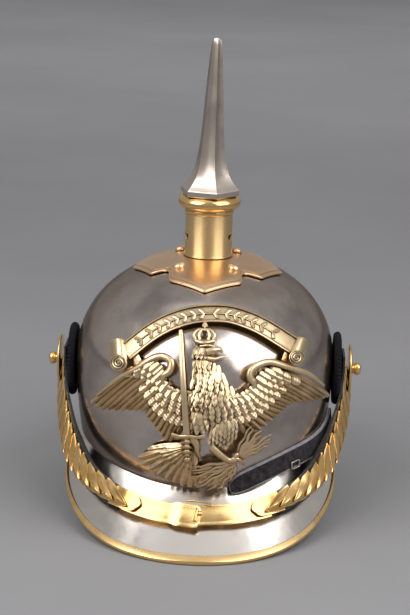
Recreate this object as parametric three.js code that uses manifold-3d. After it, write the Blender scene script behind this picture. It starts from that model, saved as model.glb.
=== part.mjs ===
// A cavalry officer's spiked helmet with a lobster-tail neck guard.
// Millimetres, +Z up. The front faces -Y, the viewer's right is +X.
import * as THREE from "three";
import { mergeVertices } from "three/addons/utils/BufferGeometryUtils.js";
import Module from "manifold-3d";

const wasm = await Module();
wasm.setup();

// Driving dimensions of the steel shell. Levels are heights above the visor's sheet edge.
const skullHalfWidth = 95;
const skullHalfLength = 112;
const domeHeight = 75;
const domeFullness = 2.14;
const widestLevel = 101;
const wallCurveDepth = 187;
const skullWall = 1.2;
const skullRimLevel = 36;
const skullRimEarLift = 11;
const visorReach = 150.5;
const neckReach = 146.5;
const rimHalfWidth = 98;
const rimWidestAhead = 36;
const rimEarLift = 29;
const sheetWall = 1.1;
const flangeHeight = 6;
const flareEase = 1.2;
const lameOverlap = 0.07;

// Clearances
const seatGap = 0.35;
const rimPlay = 0.3;
const earGap = 0.5;

// Brass edging
const trimLeg = 4.6;
const trimWall = 0.9;
const trimEarShare = 0.45;

// Spike, collar, tube and base
const baseFrontReach = 63.2;
const baseSideReach = 54.6;
const baseThickness = 2;
const baseClearance = 0.75;
const baseBevel = 0.8;
const studRadius = 4.2;
const studHeight = 3.3;
const tubeRadius = 17.2;
const tubeHeight = 31;
const tubeWall = 1.2;
const tubeFootFlare = 1.8;
const ventWidth = 8;
const ventHeight = 5.8;
const ventTurn = 70;
const ventLevelShare = 0.33;
const collarRadius = 22.7;
const collarHeight = 13;
const beadRadius = 18.4;
const plinthRadius = 22.1;
const plinthHeight = 4.5;
const spikeHeight = 113.5;
const spikeTurn = 15;
const spikeLean = 1;

// Side bosses
const bossLevel = 94.5;
const cockadeRadius = 27.2;
const cockadeDepth = 6;
const rosetteRadius = 18;
const rosetteDepth = 3.2;
const knobRadius = 4.8;
const knobLength = 6.2;

// Chinscales
const scaleCount = 13;
const scalePitch = 11.2;
const scaleStart = 9;
const scaleWall = 0.8;
const scaleLengthShare = 1.55;
const scaleWidthAtBoss = 27;
const scaleWidthAtFront = 16;
const scaleCamber = 1.6;
const leatherWall = 1.5;
const leatherWidthShare = 0.72;
const frontPlateLength = 24;
const endPlateReach = 4;
const frontLean = 40;
const chainClearance = 1.7;

// Loose strap
const strapWidth = 15.5;
const strapWall = 1.8;
const strapTilt = 1.6;
const buckleLength = 9;
const buckleWidth = 6.5;
const buckleWire = 1.3;
const buckleAcross = -0.6;
const buckleStand = 0.6;

// Badge and scroll
const badgeHeight = 117.6;
const badgeRowCount = 170;
const badgeFootLevel = 33;
const badgeShift = 2.6;
const badgeLean = 17;
const badgeStandoff = 3;
const badgeSpring = 4;
const badgePostRadius = 2.2;
const badgeFacet = 26;
const scrollWidth = 12.6;
const scrollWall = 1.6;

// Materials
const metal = (color, roughness) => new THREE.MeshStandardMaterial({ color, roughness, metalness: 1 });
const soft = (color, roughness) => new THREE.MeshStandardMaterial({ color, roughness, metalness: 0 });
const polishedSteel = () => metal(0xb9b6b4, 0.12);
const satinBrass = () => metal(0xc99f4f, 0.3);
const brightBrass = () => metal(0xe0b263, 0.18);
const rosyBrass = () => metal(0xd9a679, 0.16);
const warmNickel = () => metal(0xc8bda6, 0.34);
const antiqueBrass = () => metal(0xb3a27c, 0.42);
const blackSilk = () => soft(0x1b1a1c, 0.8);
const blackLeather = () => soft(0x17151a, 0.6);
const greySuede = () => soft(0x35323a, 0.9);

const helmet = new THREE.Group();

function addPiece(name, geometry, material) {
  const mesh = new THREE.Mesh(geometry, material);
  mesh.name = name;
  helmet.add(mesh);
  return mesh;
}

// Solids from rows of points

function signedVolume(points, faces) {
  let sum = 0;
  for (let i = 0; i < faces.length; i += 3) {
    const [a, b, c] = [points[faces[i]], points[faces[i + 1]], points[faces[i + 2]]];
    sum += a.dot(new THREE.Vector3().crossVectors(b, c));
  }
  return sum / 6;
}

function closedGeometry(points, faces) {
  const facing = signedVolume(points, faces) < 0 ? faces.toReversed() : faces;
  const geometry = new THREE.BufferGeometry().setFromPoints(points);
  geometry.setIndex(facing);
  geometry.computeVertexNormals();
  return geometry;
}

// A wall between an outer and an inner grid of points, with its four edges closed.
function wallSolid(outer, inner) {
  const rows = outer.length;
  const columns = outer[0].length;
  const points = [...outer.flat(), ...inner.flat()];
  const at = (side, row, column) => side * rows * columns + row * columns + column;
  const faces = [];
  const quad = (a, b, c, d) => faces.push(a, b, c, a, c, d);
  for (let row = 0; row < rows - 1; row += 1) {
    for (let column = 0; column < columns - 1; column += 1) {
      quad(at(0, row, column), at(0, row, column + 1), at(0, row + 1, column + 1), at(0, row + 1, column));
      quad(at(1, row, column), at(1, row + 1, column), at(1, row + 1, column + 1), at(1, row, column + 1));
    }
  }
  for (let column = 0; column < columns - 1; column += 1) {
    quad(at(0, 0, column), at(1, 0, column), at(1, 0, column + 1), at(0, 0, column + 1));
    const last = rows - 1;
    quad(at(0, last, column), at(0, last, column + 1), at(1, last, column + 1), at(1, last, column));
  }
  for (let row = 0; row < rows - 1; row += 1) {
    quad(at(0, row, 0), at(0, row + 1, 0), at(1, row + 1, 0), at(1, row, 0));
    const last = columns - 1;
    quad(at(0, row, last), at(1, row, last), at(1, row + 1, last), at(0, row + 1, last));
  }
  return closedGeometry(points, faces);
}

// A solid whose skin runs from a first pole over closed rings of points to a last pole.
function ringSolid(firstPole, rings, lastPole) {
  const count = rings[0].length;
  const points = [firstPole, ...rings.flat(), lastPole];
  const at = (ring, index) => 1 + ring * count + (index % count);
  const faces = [];
  for (let index = 0; index < count; index += 1) {
    faces.push(0, at(0, index), at(0, index + 1));
    for (let ring = 0; ring < rings.length - 1; ring += 1) {
      faces.push(at(ring, index), at(ring + 1, index), at(ring + 1, index + 1));
      faces.push(at(ring, index), at(ring + 1, index + 1), at(ring, index + 1));
    }
    const last = rings.length - 1;
    faces.push(points.length - 1, at(last, index + 1), at(last, index));
  }
  return closedGeometry(points, faces);
}

// The same grid of points moved inwards along its own surface normals.
function offsetGrid(grid, distance, outward) {
  return grid.map((line, row) =>
    line.map((point, column) => {
      const previousRow = grid[Math.max(row - 1, 0)][column];
      const nextRow = grid[Math.min(row + 1, grid.length - 1)][column];
      const previousColumn = line[Math.max(column - 1, 0)];
      const nextColumn = line[Math.min(column + 1, line.length - 1)];
      const along = new THREE.Vector3().subVectors(nextColumn, previousColumn);
      const across = new THREE.Vector3().subVectors(nextRow, previousRow);
      const normal = new THREE.Vector3().crossVectors(along, across).normalize();
      if (normal.dot(outward(point)) < 0) normal.negate();
      return point.clone().addScaledVector(normal, -distance);
    }),
  );
}

// A lathe about the Z axis through profile points of [radius, level].
function latheSolid(profile, segments) {
  const line = profile.map(([radius, level]) => new THREE.Vector2(radius, level));
  const geometry = new THREE.LatheGeometry(line, segments);
  geometry.rotateX(Math.PI / 2);
  return closedLathe(geometry);
}

function closedLathe(geometry) {
  geometry.deleteAttribute("normal");
  geometry.deleteAttribute("uv");
  const merged = mergeVertices(geometry, 1e-4);
  const positions = merged.getAttribute("position");
  const points = [];
  for (let i = 0; i < positions.count; i += 1) {
    points.push(new THREE.Vector3().fromBufferAttribute(positions, i));
  }
  const index = merged.index.array;
  const faces = [];
  for (let i = 0; i < index.length; i += 3) {
    const [a, b, c] = [index[i], index[i + 1], index[i + 2]];
    if (a !== b && b !== c && c !== a) faces.push(a, b, c);
  }
  return closedGeometry(points, faces);
}

function toSolid(geometry) {
  const bare = geometry.clone();
  bare.deleteAttribute("normal");
  bare.deleteAttribute("uv");
  const merged = mergeVertices(bare, 1e-4);
  return new wasm.Manifold(
    new wasm.Mesh({
      numProp: 3,
      vertProperties: merged.getAttribute("position").array,
      triVerts: new Uint32Array(merged.index.array),
    }),
  );
}

function toGeometry(solid) {
  const mesh = solid.getMesh();
  const geometry = new THREE.BufferGeometry();
  geometry.setAttribute("position", new THREE.BufferAttribute(mesh.vertProperties, 3));
  geometry.setIndex([...mesh.triVerts]);
  geometry.computeVertexNormals();
  return geometry;
}

function joined(geometries) {
  return geometries.map(toSolid).reduce((sum, solid) => sum.add(solid));
}

// The same surface with every edge over the longest length halved, until none is left.
function splitLongEdges(geometry, longest) {
  const position = geometry.getAttribute("position");
  const points = steps(position.count - 1, 0, position.count - 1).map((index) =>
    new THREE.Vector3().fromBufferAttribute(position, index),
  );
  let faces = [...geometry.index.array];
  for (let before = 0; before !== faces.length; ) {
    before = faces.length;
    const middles = new Map();
    const middleOf = (a, b) => {
      if (points[a].distanceTo(points[b]) <= longest) return null;
      const key = `${Math.min(a, b)} ${Math.max(a, b)}`;
      if (!middles.has(key)) {
        middles.set(key, points.length);
        points.push(points[a].clone().lerp(points[b], 0.5));
      }
      return middles.get(key);
    };
    const next = [];
    for (let i = 0; i < faces.length; i += 3) next.push(...splitFace(faces.slice(i, i + 3), middleOf));
    faces = next;
  }
  return closedGeometry(points, faces);
}

function splitFace([a, b, c], middleOf) {
  const [ab, bc, ca] = [middleOf(a, b), middleOf(b, c), middleOf(c, a)];
  const halved = [ab, bc, ca].filter((middle) => middle !== null).length;
  if (halved === 0) return [a, b, c];
  if (halved === 3) return [a, ab, ca, ab, b, bc, ca, bc, c, ab, bc, ca];
  const turned = halved === 1 ? ab === null : ca !== null;
  if (turned) return splitFace([b, c, a], middleOf);
  return halved === 1 ? [a, ab, c, ab, b, c] : [ab, b, bc, a, ab, bc, a, bc, c];
}

const steps = (count, from, to) =>
  Array.from({ length: count + 1 }, (_, index) => from + ((to - from) * index) / count);
const radians = THREE.MathUtils.degToRad;
const awayFromAxis = (point) => new THREE.Vector3(point.x, point.y, 0);

// Skull: half an ellipsoid above its widest level, a steeper wall below it

// The share of the half axes that is left at a level.
function skullShare(level, offset) {
  const dome = level > widestLevel;
  const reach = (dome ? domeHeight : wallCurveDepth) + offset;
  const power = dome ? domeFullness : 2;
  return Math.max(0, 1 - (Math.abs(level - widestLevel) / reach) ** power) ** (1 / power);
}

// A point of the skull's outside, moved out by offset. turn runs from the front towards +X.
function skullPoint(turn, level, offset = 0) {
  const share = skullShare(level, offset);
  return new THREE.Vector3(
    (skullHalfWidth + offset) * share * Math.sin(turn),
    -(skullHalfLength + offset) * share * Math.cos(turn),
    level,
  );
}

const crownLevel = (offset) => widestLevel + domeHeight + offset;

// A point of the dome over plan shares of the two half axes.
function domePoint(acrossShare, aheadShare, offset) {
  const out = Math.hypot(acrossShare, aheadShare);
  const rise = (1 - out ** domeFullness) ** (1 / domeFullness);
  return new THREE.Vector3(
    (skullHalfWidth + offset) * acrossShare,
    -(skullHalfLength + offset) * aheadShare,
    widestLevel + (domeHeight + offset) * rise,
  );
}

const skullRim = (turn) => skullRimLevel + skullRimEarLift * Math.sin(turn) ** 2;

function skullRing(share, offset, columns) {
  return steps(columns, 0, 2 * Math.PI)
    .slice(0, columns)
    .map((turn) => {
      if (share <= 1) {
        const level = widestLevel + (domeHeight + offset) * Math.cos((share * Math.PI) / 2);
        return skullPoint(turn, level, offset);
      }
      const level = THREE.MathUtils.lerp(widestLevel, skullRim(turn), share - 1);
      return skullPoint(turn, level, offset);
    });
}

function buildSkull() {
  const columns = 44;
  const outerShares = [0.14, 0.3, 0.46, 0.62, 0.78, 0.9, 1, 1.33, 1.67, 2];
  const innerShares = [2, 1.67, 1.33, 1, 0.86, 0.7, 0.53, 0.36, 0.18];
  const outer = outerShares.map((share) => skullRing(share, 0, columns));
  const inner = innerShares.map((share) => skullRing(share, -skullWall, columns));
  const top = new THREE.Vector3(0, 0, crownLevel(0));
  const ceiling = new THREE.Vector3(0, 0, crownLevel(-skullWall));
  addPiece("skull", ringSolid(top, [...outer, ...inner], ceiling), polishedSteel());
}

// Visor and neck guard: skirts that flare from inside the skull's rim to their own rim

const rimBackSpan = neckReach + rimWidestAhead;
const rimFrontSpan = visorReach - rimWidestAhead;
const earRimAngle = Math.PI / 2 + Math.asin(rimWidestAhead / rimBackSpan);

// The middle of the sheet's free edge. turn runs from the front, 90 degrees is at the ear.
function rimPoint(turn) {
  const aside = Math.abs(turn);
  const quarter = Math.PI / 2;
  const front = aside < quarter;
  const angle = front
    ? (aside * earRimAngle) / quarter
    : earRimAngle + ((aside - quarter) * (Math.PI - earRimAngle)) / quarter;
  const cosine = Math.cos(angle);
  const ahead = rimWidestAhead + (cosine > 0 ? rimFrontSpan : rimBackSpan) * cosine;
  const fromEnd = ahead > 0 ? (visorReach - ahead) / visorReach : (neckReach + ahead) / neckReach;
  return new THREE.Vector3(
    Math.sign(turn) * rimHalfWidth * Math.sin(angle),
    -ahead,
    (rimEarLift * (1 - Math.cos(Math.PI * fromEnd))) / 2,
  );
}

// drop is -1 at the flange's top inside the skull, 0 at the skull's rim and 1 at the free edge.
function skirtPoint(turn, drop) {
  const inside = -skullWall - seatGap - rimPlay;
  if (drop < 0) return skullPoint(turn, skullRim(turn) - drop * flangeHeight, inside);
  const root = skullPoint(turn, skullRim(turn), inside);
  const edge = rimPoint(turn > Math.PI ? turn - 2 * Math.PI : turn);
  const out = drop ** flareEase;
  return new THREE.Vector3(
    THREE.MathUtils.lerp(root.x, edge.x, out),
    THREE.MathUtils.lerp(root.y, edge.y, out),
    THREE.MathUtils.lerp(root.z, edge.z, drop),
  );
}

const visorColumns = 27;
const neckColumns = 21;
const earTurn = Math.PI / 2;
const earGapTurn = earGap / 2 / skullHalfWidth;
const visorTurns = steps(visorColumns, -earTurn + earGapTurn, earTurn - earGapTurn);
const neckTurns = steps(neckColumns, earTurn + earGapTurn, 3 * earTurn - earGapTurn);
const aboveAndOut = (point) => awayFromAxis(point).normalize().setZ(0.6);

function skirtGrid(turns, drops) {
  return drops.map((drop) => turns.map((turn) => skirtPoint(turn, drop)));
}

function buildVisor() {
  const outer = skirtGrid(visorTurns, [-1, 0, 0.2, 0.55, 1]);
  addPiece("front_visor", wallSolid(outer, offsetGrid(outer, sheetWall, aboveAndOut)), polishedSteel());
}

// Each lame hides its upper edge under the one above it.
function buildNeckLames() {
  const lameStep = sheetWall + seatGap;
  const lames = [
    { drops: [-1, 0, 0.12, 0.36], sunk: [0, 0, 0, 0] },
    { drops: [0.36 - lameOverlap, 0.37, 0.7], sunk: [1.1, 1.1, 0] },
    { drops: [0.7 - lameOverlap, 0.71, 0.9, 1], sunk: [1.1, 1.1, 0, 0] },
  ];
  lames.forEach(({ drops, sunk }, index) => {
    const level = skirtGrid(neckTurns, drops);
    const outer = level.map(
      (line, row) => offsetGrid(level, lameStep * sunk[row], aboveAndOut)[row],
    );
    const inner = offsetGrid(outer, sheetWall, aboveAndOut);
    addPiece(`neck_lame_${index + 1}`, wallSolid(outer, inner), polishedSteel());
  });
}

// A channel folded round a sheet's free edge, flat underneath.
function channelSections(turns) {
  const slotHalf = sheetWall / 2 + seatGap;
  const half = slotHalf + trimWall;
  const nearEdge = 0.97;
  const outer = skirtGrid(turns, [nearEdge, 1]);
  const inner = offsetGrid(outer, sheetWall, aboveAndOut);
  return turns.map((turn, column) => {
    const edge = outer[1][column].clone().add(inner[1][column]).multiplyScalar(0.5);
    const before = outer[0][column].clone().add(inner[0][column]).multiplyScalar(0.5);
    const back = before.sub(edge).normalize();
    const up = outer[1][column].clone().sub(inner[1][column]).normalize();
    const leg = trimLeg * THREE.MathUtils.lerp(trimEarShare, 1, Math.abs(Math.cos(turn)));
    const point = (along, raised) =>
      edge.clone().addScaledVector(back, along).addScaledVector(up, raised);
    const flatLevel = edge.z - half * 1.05;
    const toFlat = (flatLevel - edge.z + up.z * half) / back.z;
    const nose = point(-half * 0.75, half);
    const underNose = point(-half * 1.1, 0).setZ(flatLevel);
    return {
      outer: [point(leg, half), nose, underNose, point(toFlat, -half), point(leg, -half)],
      inner: [
        point(leg, slotHalf),
        point(-seatGap, slotHalf),
        point(-seatGap, 0),
        point(-seatGap, -slotHalf),
        point(leg, -slotHalf),
      ],
    };
  });
}

function buildTrim(name, turns) {
  const sections = channelSections(turns);
  const outer = sections.map((section) => section.outer);
  const inner = sections.map((section) => section.inner);
  addPiece(name, wallSolid(outer, inner), satinBrass());
}

// Base: four wide arms with blunt points that follow the crown

const baseTop = baseClearance + baseThickness;

// One arm's outline, as shares of the arms' reach.
const armOutline = [
  { across: 0.46, ahead: 0.487 },
  { across: 0.47, ahead: 0.73 },
  { across: 0.243, ahead: 0.865 },
  { across: 0, ahead: 1 },
  { across: -0.243, ahead: 0.865 },
  { across: -0.47, ahead: 0.73 },
];

// A point over shares of the base's two reaches, moved out by offset from the skull.
const basePoint = (across, ahead, offset) =>
  domePoint((across * baseSideReach) / skullHalfWidth, (ahead * baseFrontReach) / skullHalfLength, offset);

function baseRing(share, offset) {
  return [0, 1, 2, 3].flatMap((quarter) => {
    const turn = (-quarter * Math.PI) / 2;
    return armOutline.map(({ across, ahead }) =>
      basePoint(
        share * (across * Math.cos(turn) + ahead * Math.sin(turn)),
        share * (ahead * Math.cos(turn) - across * Math.sin(turn)),
        offset,
      ),
    );
  });
}

function buildCrossBase() {
  const shares = [0.25, 0.5, 0.77];
  const edgeShare = 1 - baseBevel / (armOutline[1].ahead * baseSideReach);
  const rings = [
    ...shares.map((share) => baseRing(share, baseTop)),
    baseRing(edgeShare, baseTop),
    baseRing(1, baseTop - baseBevel),
    baseRing(1, baseClearance),
    ...shares.toReversed().map((share) => baseRing(share, baseClearance)),
  ];
  const pole = (offset) => new THREE.Vector3(0, 0, crownLevel(offset));
  addPiece("cross_base", ringSolid(pole(baseTop), rings, pole(baseClearance)), rosyBrass());
}

// Shares of the base's reaches.
const studPlaces = [
  { across: -0.348, ahead: 0.47 },
  { across: 0.348, ahead: 0.47 },
  { across: 0.365, ahead: -0.209 },
  { across: -0.365, ahead: -0.209 },
];

function buildStuds() {
  studPlaces.forEach(({ across, ahead }, index) => {
    const foot = baseTop + seatGap;
    const profile = [
      [0, 0],
      [studRadius, 0],
      [studRadius, studHeight * 0.25],
      [studRadius * 0.72, studHeight * 0.75],
      [0, studHeight],
    ];
    const stud = addPiece(`base_stud_${index + 1}`, latheSolid(profile, 10), rosyBrass());
    const place = basePoint(across, ahead, foot);
    const normal = basePoint(across, ahead, foot + 1).sub(place).normalize();
    stud.position.copy(place);
    stud.quaternion.setFromUnitVectors(new THREE.Vector3(0, 0, 1), normal);
  });
}

// Spike column

const tubeInner = tubeRadius - tubeWall;
const tubeFootLevel = domePoint(0, tubeInner / skullHalfLength, baseTop).z + seatGap;
const tubeTopLevel = tubeFootLevel + tubeHeight;
const collarLevel = tubeTopLevel + seatGap;
const plinthLevel = collarLevel + collarHeight + seatGap;

// A vent is a hole with a flat head and a pointed foot, in shares of its width and height.
const ventOutline = [
  { across: 0, up: 0 },
  { across: 0.5, up: 0.8 },
  { across: 0.42, up: 1 },
  { across: -0.42, up: 1 },
  { across: -0.5, up: 0.8 },
];

function ventCutter(side) {
  const outline = new THREE.Shape(
    ventOutline.map(({ across, up }) => new THREE.Vector2(across * ventWidth, up * ventHeight)),
  );
  const cutter = new THREE.ExtrudeGeometry(outline, { depth: tubeRadius, bevelEnabled: false });
  cutter.rotateX(Math.PI / 2);
  cutter.translate(0, -tubeRadius / 2, tubeHeight * ventLevelShare);
  cutter.rotateZ(side * radians(ventTurn));
  return cutter;
}

function buildNeckTube() {
  const wall = latheSolid(
    [
      [tubeInner, 0],
      [tubeRadius + tubeFootFlare, 0],
      [tubeRadius + tubeFootFlare * 0.35, tubeFootFlare],
      [tubeRadius, tubeFootFlare * 2.2],
      [tubeRadius, tubeHeight],
      [tubeInner, tubeHeight],
      [tubeInner, 0],
    ],
    24,
  );
  const vented = [-1, 1].reduce((solid, side) => solid.subtract(toSolid(ventCutter(side))), toSolid(wall));
  addPiece("neck_tube", toGeometry(vented), satinBrass()).position.z = tubeFootLevel;
}

function buildCollar() {
  const ring = beadRadius + 0.5;
  const profile = [
    [0, 0],
    [ring, 0],
    [ring, collarHeight * 0.2],
    [beadRadius, collarHeight * 0.28],
    [collarRadius * 0.95, collarHeight * 0.38],
    [collarRadius, collarHeight * 0.6],
    [collarRadius * 0.95, collarHeight * 0.82],
    [beadRadius + 0.6, collarHeight * 0.96],
    [beadRadius, collarHeight],
    [0, collarHeight],
  ];
  addPiece("spike_collar", latheSolid(profile, 20), brightBrass()).position.z = collarLevel;
}

// The spike has six ridges with hollowed faces between them, and leans a little to one side.
function spikeRing(radius, hollow, level) {
  const aside = level * Math.tan(radians(spikeLean));
  return steps(12, 0, 2 * Math.PI)
    .slice(0, 12)
    .map((turn, index) => {
      const reach = index % 2 ? radius * hollow : radius;
      const angle = turn + radians(spikeTurn);
      return new THREE.Vector3(aside + reach * Math.sin(angle), -reach * Math.cos(angle), level);
    });
}

// The plinth's sides are flat, as a share of its corners' reach.
const plinthHollow = 0.87;

// Shares of the shaft's rise above the plinth and of the plinth's radius.
const spikeSections = [
  { rise: 0, radius: 0.99, hollow: 0.87 },
  { rise: 0.03, radius: 0.86, hollow: 0.86 },
  { rise: 0.07, radius: 0.71, hollow: 0.85 },
  { rise: 0.11, radius: 0.615, hollow: 0.84 },
  { rise: 0.165, radius: 0.53, hollow: 0.83 },
  { rise: 0.24, radius: 0.455, hollow: 0.82 },
  { rise: 0.34, radius: 0.395, hollow: 0.81 },
  { rise: 0.5, radius: 0.34, hollow: 0.8 },
  { rise: 0.66, radius: 0.29, hollow: 0.8 },
  { rise: 0.81, radius: 0.24, hollow: 0.81 },
  { rise: 0.93, radius: 0.185, hollow: 0.84 },
  { rise: 0.985, radius: 0.12, hollow: 0.9 },
];

function buildSpike() {
  const shaft = spikeHeight - plinthHeight;
  const rings = [
    spikeRing(plinthRadius * 0.97, plinthHollow, 0),
    spikeRing(plinthRadius, plinthHollow, plinthHeight * 0.2),
    ...spikeSections.map(({ rise, radius, hollow }) =>
      spikeRing(plinthRadius * radius, hollow, plinthHeight + shaft * rise),
    ),
  ];
  const foot = new THREE.Vector3(0, 0, 0);
  const tip = new THREE.Vector3(spikeHeight * Math.tan(radians(spikeLean)), 0, spikeHeight);
  addPiece("spike", ringSolid(foot, rings, tip), warmNickel()).position.z = plinthLevel;
}

// Side bosses, stacked outwards from the skull's wall

const cockadeBack = skullPoint(Math.PI / 2, bossLevel).x + seatGap;
const leatherBack = cockadeBack + cockadeDepth + 2 * seatGap;
const scaleBack = leatherBack + leatherWall + seatGap;
const scaleRise = scaleWall + seatGap;
const rosetteBack = scaleBack + scaleRise * scaleLengthShare + scaleWall + seatGap;
const knobBack = rosetteBack + rosetteDepth + seatGap;

// A pleated disc: every second point of its face stands proud.
function cockadeGeometry() {
  const pleats = 18;
  const ring = (radius, depth, relief) =>
    steps(2 * pleats, 0, 2 * Math.PI)
      .slice(0, 2 * pleats)
      .map((turn, index) => {
        const sunk = index % 2 ? relief : 0;
        const reach = radius - sunk;
        return new THREE.Vector3(reach * Math.cos(turn), reach * Math.sin(turn), depth - sunk);
      });
  const rings = [
    ring(cockadeRadius * 0.45, cockadeDepth, 0.3),
    ring(cockadeRadius * 0.9, cockadeDepth * 0.85, 1),
    ring(cockadeRadius, cockadeDepth * 0.5, 1),
    ring(cockadeRadius * 0.94, 0, 0),
  ];
  return ringSolid(new THREE.Vector3(0, 0, cockadeDepth), rings, new THREE.Vector3(0, 0, 0));
}

const rosetteProfile = [
  [0, 0],
  [rosetteRadius * 0.96, 0],
  [rosetteRadius, rosetteDepth * 0.3],
  [rosetteRadius * 0.9, rosetteDepth * 0.62],
  [rosetteRadius * 0.5, rosetteDepth * 0.78],
  [rosetteRadius * 0.3, rosetteDepth],
  [0, rosetteDepth],
];
const knobProfile = [
  [0, 0],
  [knobRadius * 0.7, 0],
  [knobRadius, knobLength * 0.3],
  [knobRadius, knobLength * 0.7],
  [knobRadius * 0.6, knobLength],
  [0, knobLength],
];

function addBossPiece(name, side, geometry, back, material) {
  const piece = addPiece(name, geometry, material);
  piece.rotation.y = (side * Math.PI) / 2;
  piece.position.set(side * back, 0, bossLevel);
}

function buildBosses(side, label) {
  addBossPiece(`cockade_${label}`, side, cockadeGeometry(), cockadeBack, blackSilk());
  addBossPiece(`rosette_${label}`, side, latheSolid(rosetteProfile, 20), rosetteBack, brightBrass());
  addBossPiece(`knob_${label}`, side, latheSolid(knobProfile, 14), knobBack, brightBrass());
}

// Chin chains: the way they hang, from the boss to the middle of the visor. Shares of the leather's
// distance out at the boss, of the chain's reach at the front and of the boss's level.
const chainRoute = [
  { out: 1, ahead: 0, level: 1.14 },
  { out: 1, ahead: 0, level: 1.02 },
  { out: 1, ahead: 0.036, level: 0.88 },
  { out: 0.985, ahead: 0.152, level: 0.7 },
  { out: 0.915, ahead: 0.393, level: 0.5 },
  { out: 0.79, ahead: 0.634, level: 0.38 },
  { out: 0.58, ahead: 0.821, level: 0.305 },
  { out: 0.29, ahead: 0.955, level: 0.26 },
  { out: 0, ahead: 1, level: 0.248 },
];

// The chain's middle stands clear of the visor below it, where its lower edge comes nearest.
const chainEdgeDrop = 0.5;
const chainFrontReach = -skirtPoint(0, chainEdgeDrop).y + chainClearance;

// Frames along the chain: forward along it, out away from the helmet and across it.
function chainFrames() {
  const curve = new THREE.CatmullRomCurve3(
    chainRoute.map(
      ({ out, ahead, level }) =>
        new THREE.Vector3((leatherBack + leatherWall) * out, -chainFrontReach * ahead, bossLevel * level),
    ),
    false,
    "centripetal",
  );
  const length = curve.getLength();
  return {
    length,
    at(distance) {
      const share = THREE.MathUtils.clamp(distance / length, 0, 1);
      const place = curve.getPointAt(share);
      const forward = curve.getTangentAt(share);
      const level = new THREE.Vector3(place.x / skullHalfWidth, place.y / skullHalfLength, 0).normalize();
      const lean = radians(frontLean) * THREE.MathUtils.smoothstep(share, 0.1, 0.8);
      const out = level.multiplyScalar(Math.cos(lean)).setZ(Math.sin(lean));
      out.addScaledVector(forward, -out.dot(forward)).normalize();
      return { place, forward, out, across: new THREE.Vector3().crossVectors(forward, out) };
    },
  };
}

const chain = chainFrames();
const chainWidth = (distance) =>
  THREE.MathUtils.lerp(scaleWidthAtBoss, scaleWidthAtFront, Math.min(1, (1.15 * distance) / chain.length));

// How far the chain's plates and leather bend down towards their edges, at a share of the full half width.
const camberAt = (distance, share) =>
  scaleCamber * THREE.MathUtils.smoothstep(distance / chain.length, 0.12, 0.35) * share * share;

// A plate laid on the chain. across is from -1 to 1 of its half width.
function chainPlate({ start, length, alongShares, widthShares, tipDepth, raised }) {
  const acrossShares = [-1, -0.55, 0, 0.55, 1];
  const grid = (depth) =>
    alongShares.map((share, row) =>
      acrossShares.map((across) => {
        const reach = length * share - tipDepth * across * across * share;
        const frame = chain.at(start + reach);
        const beyond = Math.max(0, start + reach - chain.length);
        const half = (chainWidth(start + reach) / 2) * widthShares[row];
        const camber = camberAt(start + reach, across * widthShares[row]);
        return frame.place
          .addScaledVector(frame.forward, beyond)
          .addScaledVector(frame.across, half * across)
          .addScaledVector(frame.out, raised(share) + depth - camber);
      }),
    );
  return wallSolid(grid(scaleWall), grid(0));
}

function mirrored(geometry) {
  const flipped = geometry.clone();
  flipped.scale(-1, 1, 1);
  const index = flipped.index.array;
  flipped.setIndex([...index].toReversed());
  flipped.computeVertexNormals();
  return flipped;
}

const onSide = (geometry, side) => (side > 0 ? geometry : mirrored(geometry));

function buildChain(side, label) {
  const scaleLength = scalePitch * scaleLengthShare;
  const rise = (share, length) => seatGap + (scaleRise * Math.min(length * share, scaleLength)) / scalePitch;
  for (let number = 1; number <= scaleCount; number += 1) {
    const plate = chainPlate({
      start: scaleStart + (number - 1) * scalePitch,
      length: scaleLength,
      alongShares: [0, 0.6, 1],
      widthShares: [0.8, 1, 0.8],
      tipDepth: scaleLength * 0.3,
      raised: (share) => rise(share, scaleLength),
    });
    const digits = String(number).padStart(2, "0");
    addPiece(`chinscale_${label}_${digits}`, onSide(plate, side), brightBrass());
  }
  const frontStart = scaleStart + scaleCount * scalePitch;
  const frontPlate = chainPlate({
    start: frontStart,
    length: frontPlateLength,
    alongShares: [0, 0.45, 0.85, 1],
    widthShares: [0.8, 0.92, 0.9, 0.6],
    tipDepth: 3,
    raised: (share) => rise(share, frontPlateLength),
  });
  addPiece(`chin_plate_${label}`, onSide(frontPlate, side), brightBrass());
  const endStart = frontStart + scalePitch;
  const overlapping = side < 0;
  const endLength = chain.length - endStart + (overlapping ? endPlateReach : -seatGap);
  const tongueLift = (share) => (overlapping ? scaleRise * THREE.MathUtils.smoothstep(share, 0.6, 0.85) : 0);
  const endPlate = chainPlate({
    start: endStart,
    length: endLength,
    alongShares: [0, 0.35, 0.6, 0.85, 1],
    widthShares: [0.85, 0.95, 0.95, 1, 0.85],
    tipDepth: overlapping ? 3 : 0,
    raised: (share) => seatGap + tongueLift(share),
  });
  addPiece(`chin_end_${label}`, onSide(endPlate, side), brightBrass());
}

function buildChinLeather(side, label) {
  const last = scaleStart + scaleCount * scalePitch;
  const columns = 18;
  const acrossShares = [-1, 0, 1];
  const grid = (depth) =>
    acrossShares.map((across) =>
      steps(columns, 0, last).map((distance) => {
        const frame = chain.at(distance);
        const half = (chainWidth(distance) / 2) * leatherWidthShare;
        const camber = camberAt(distance, leatherWidthShare * across);
        return frame.place
          .addScaledVector(frame.across, half * across)
          .addScaledVector(frame.out, depth - camber);
      }),
    );
  addPiece(`chin_leather_${label}`, onSide(wallSolid(grid(0), grid(-leatherWall)), side), blackLeather());
}

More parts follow.
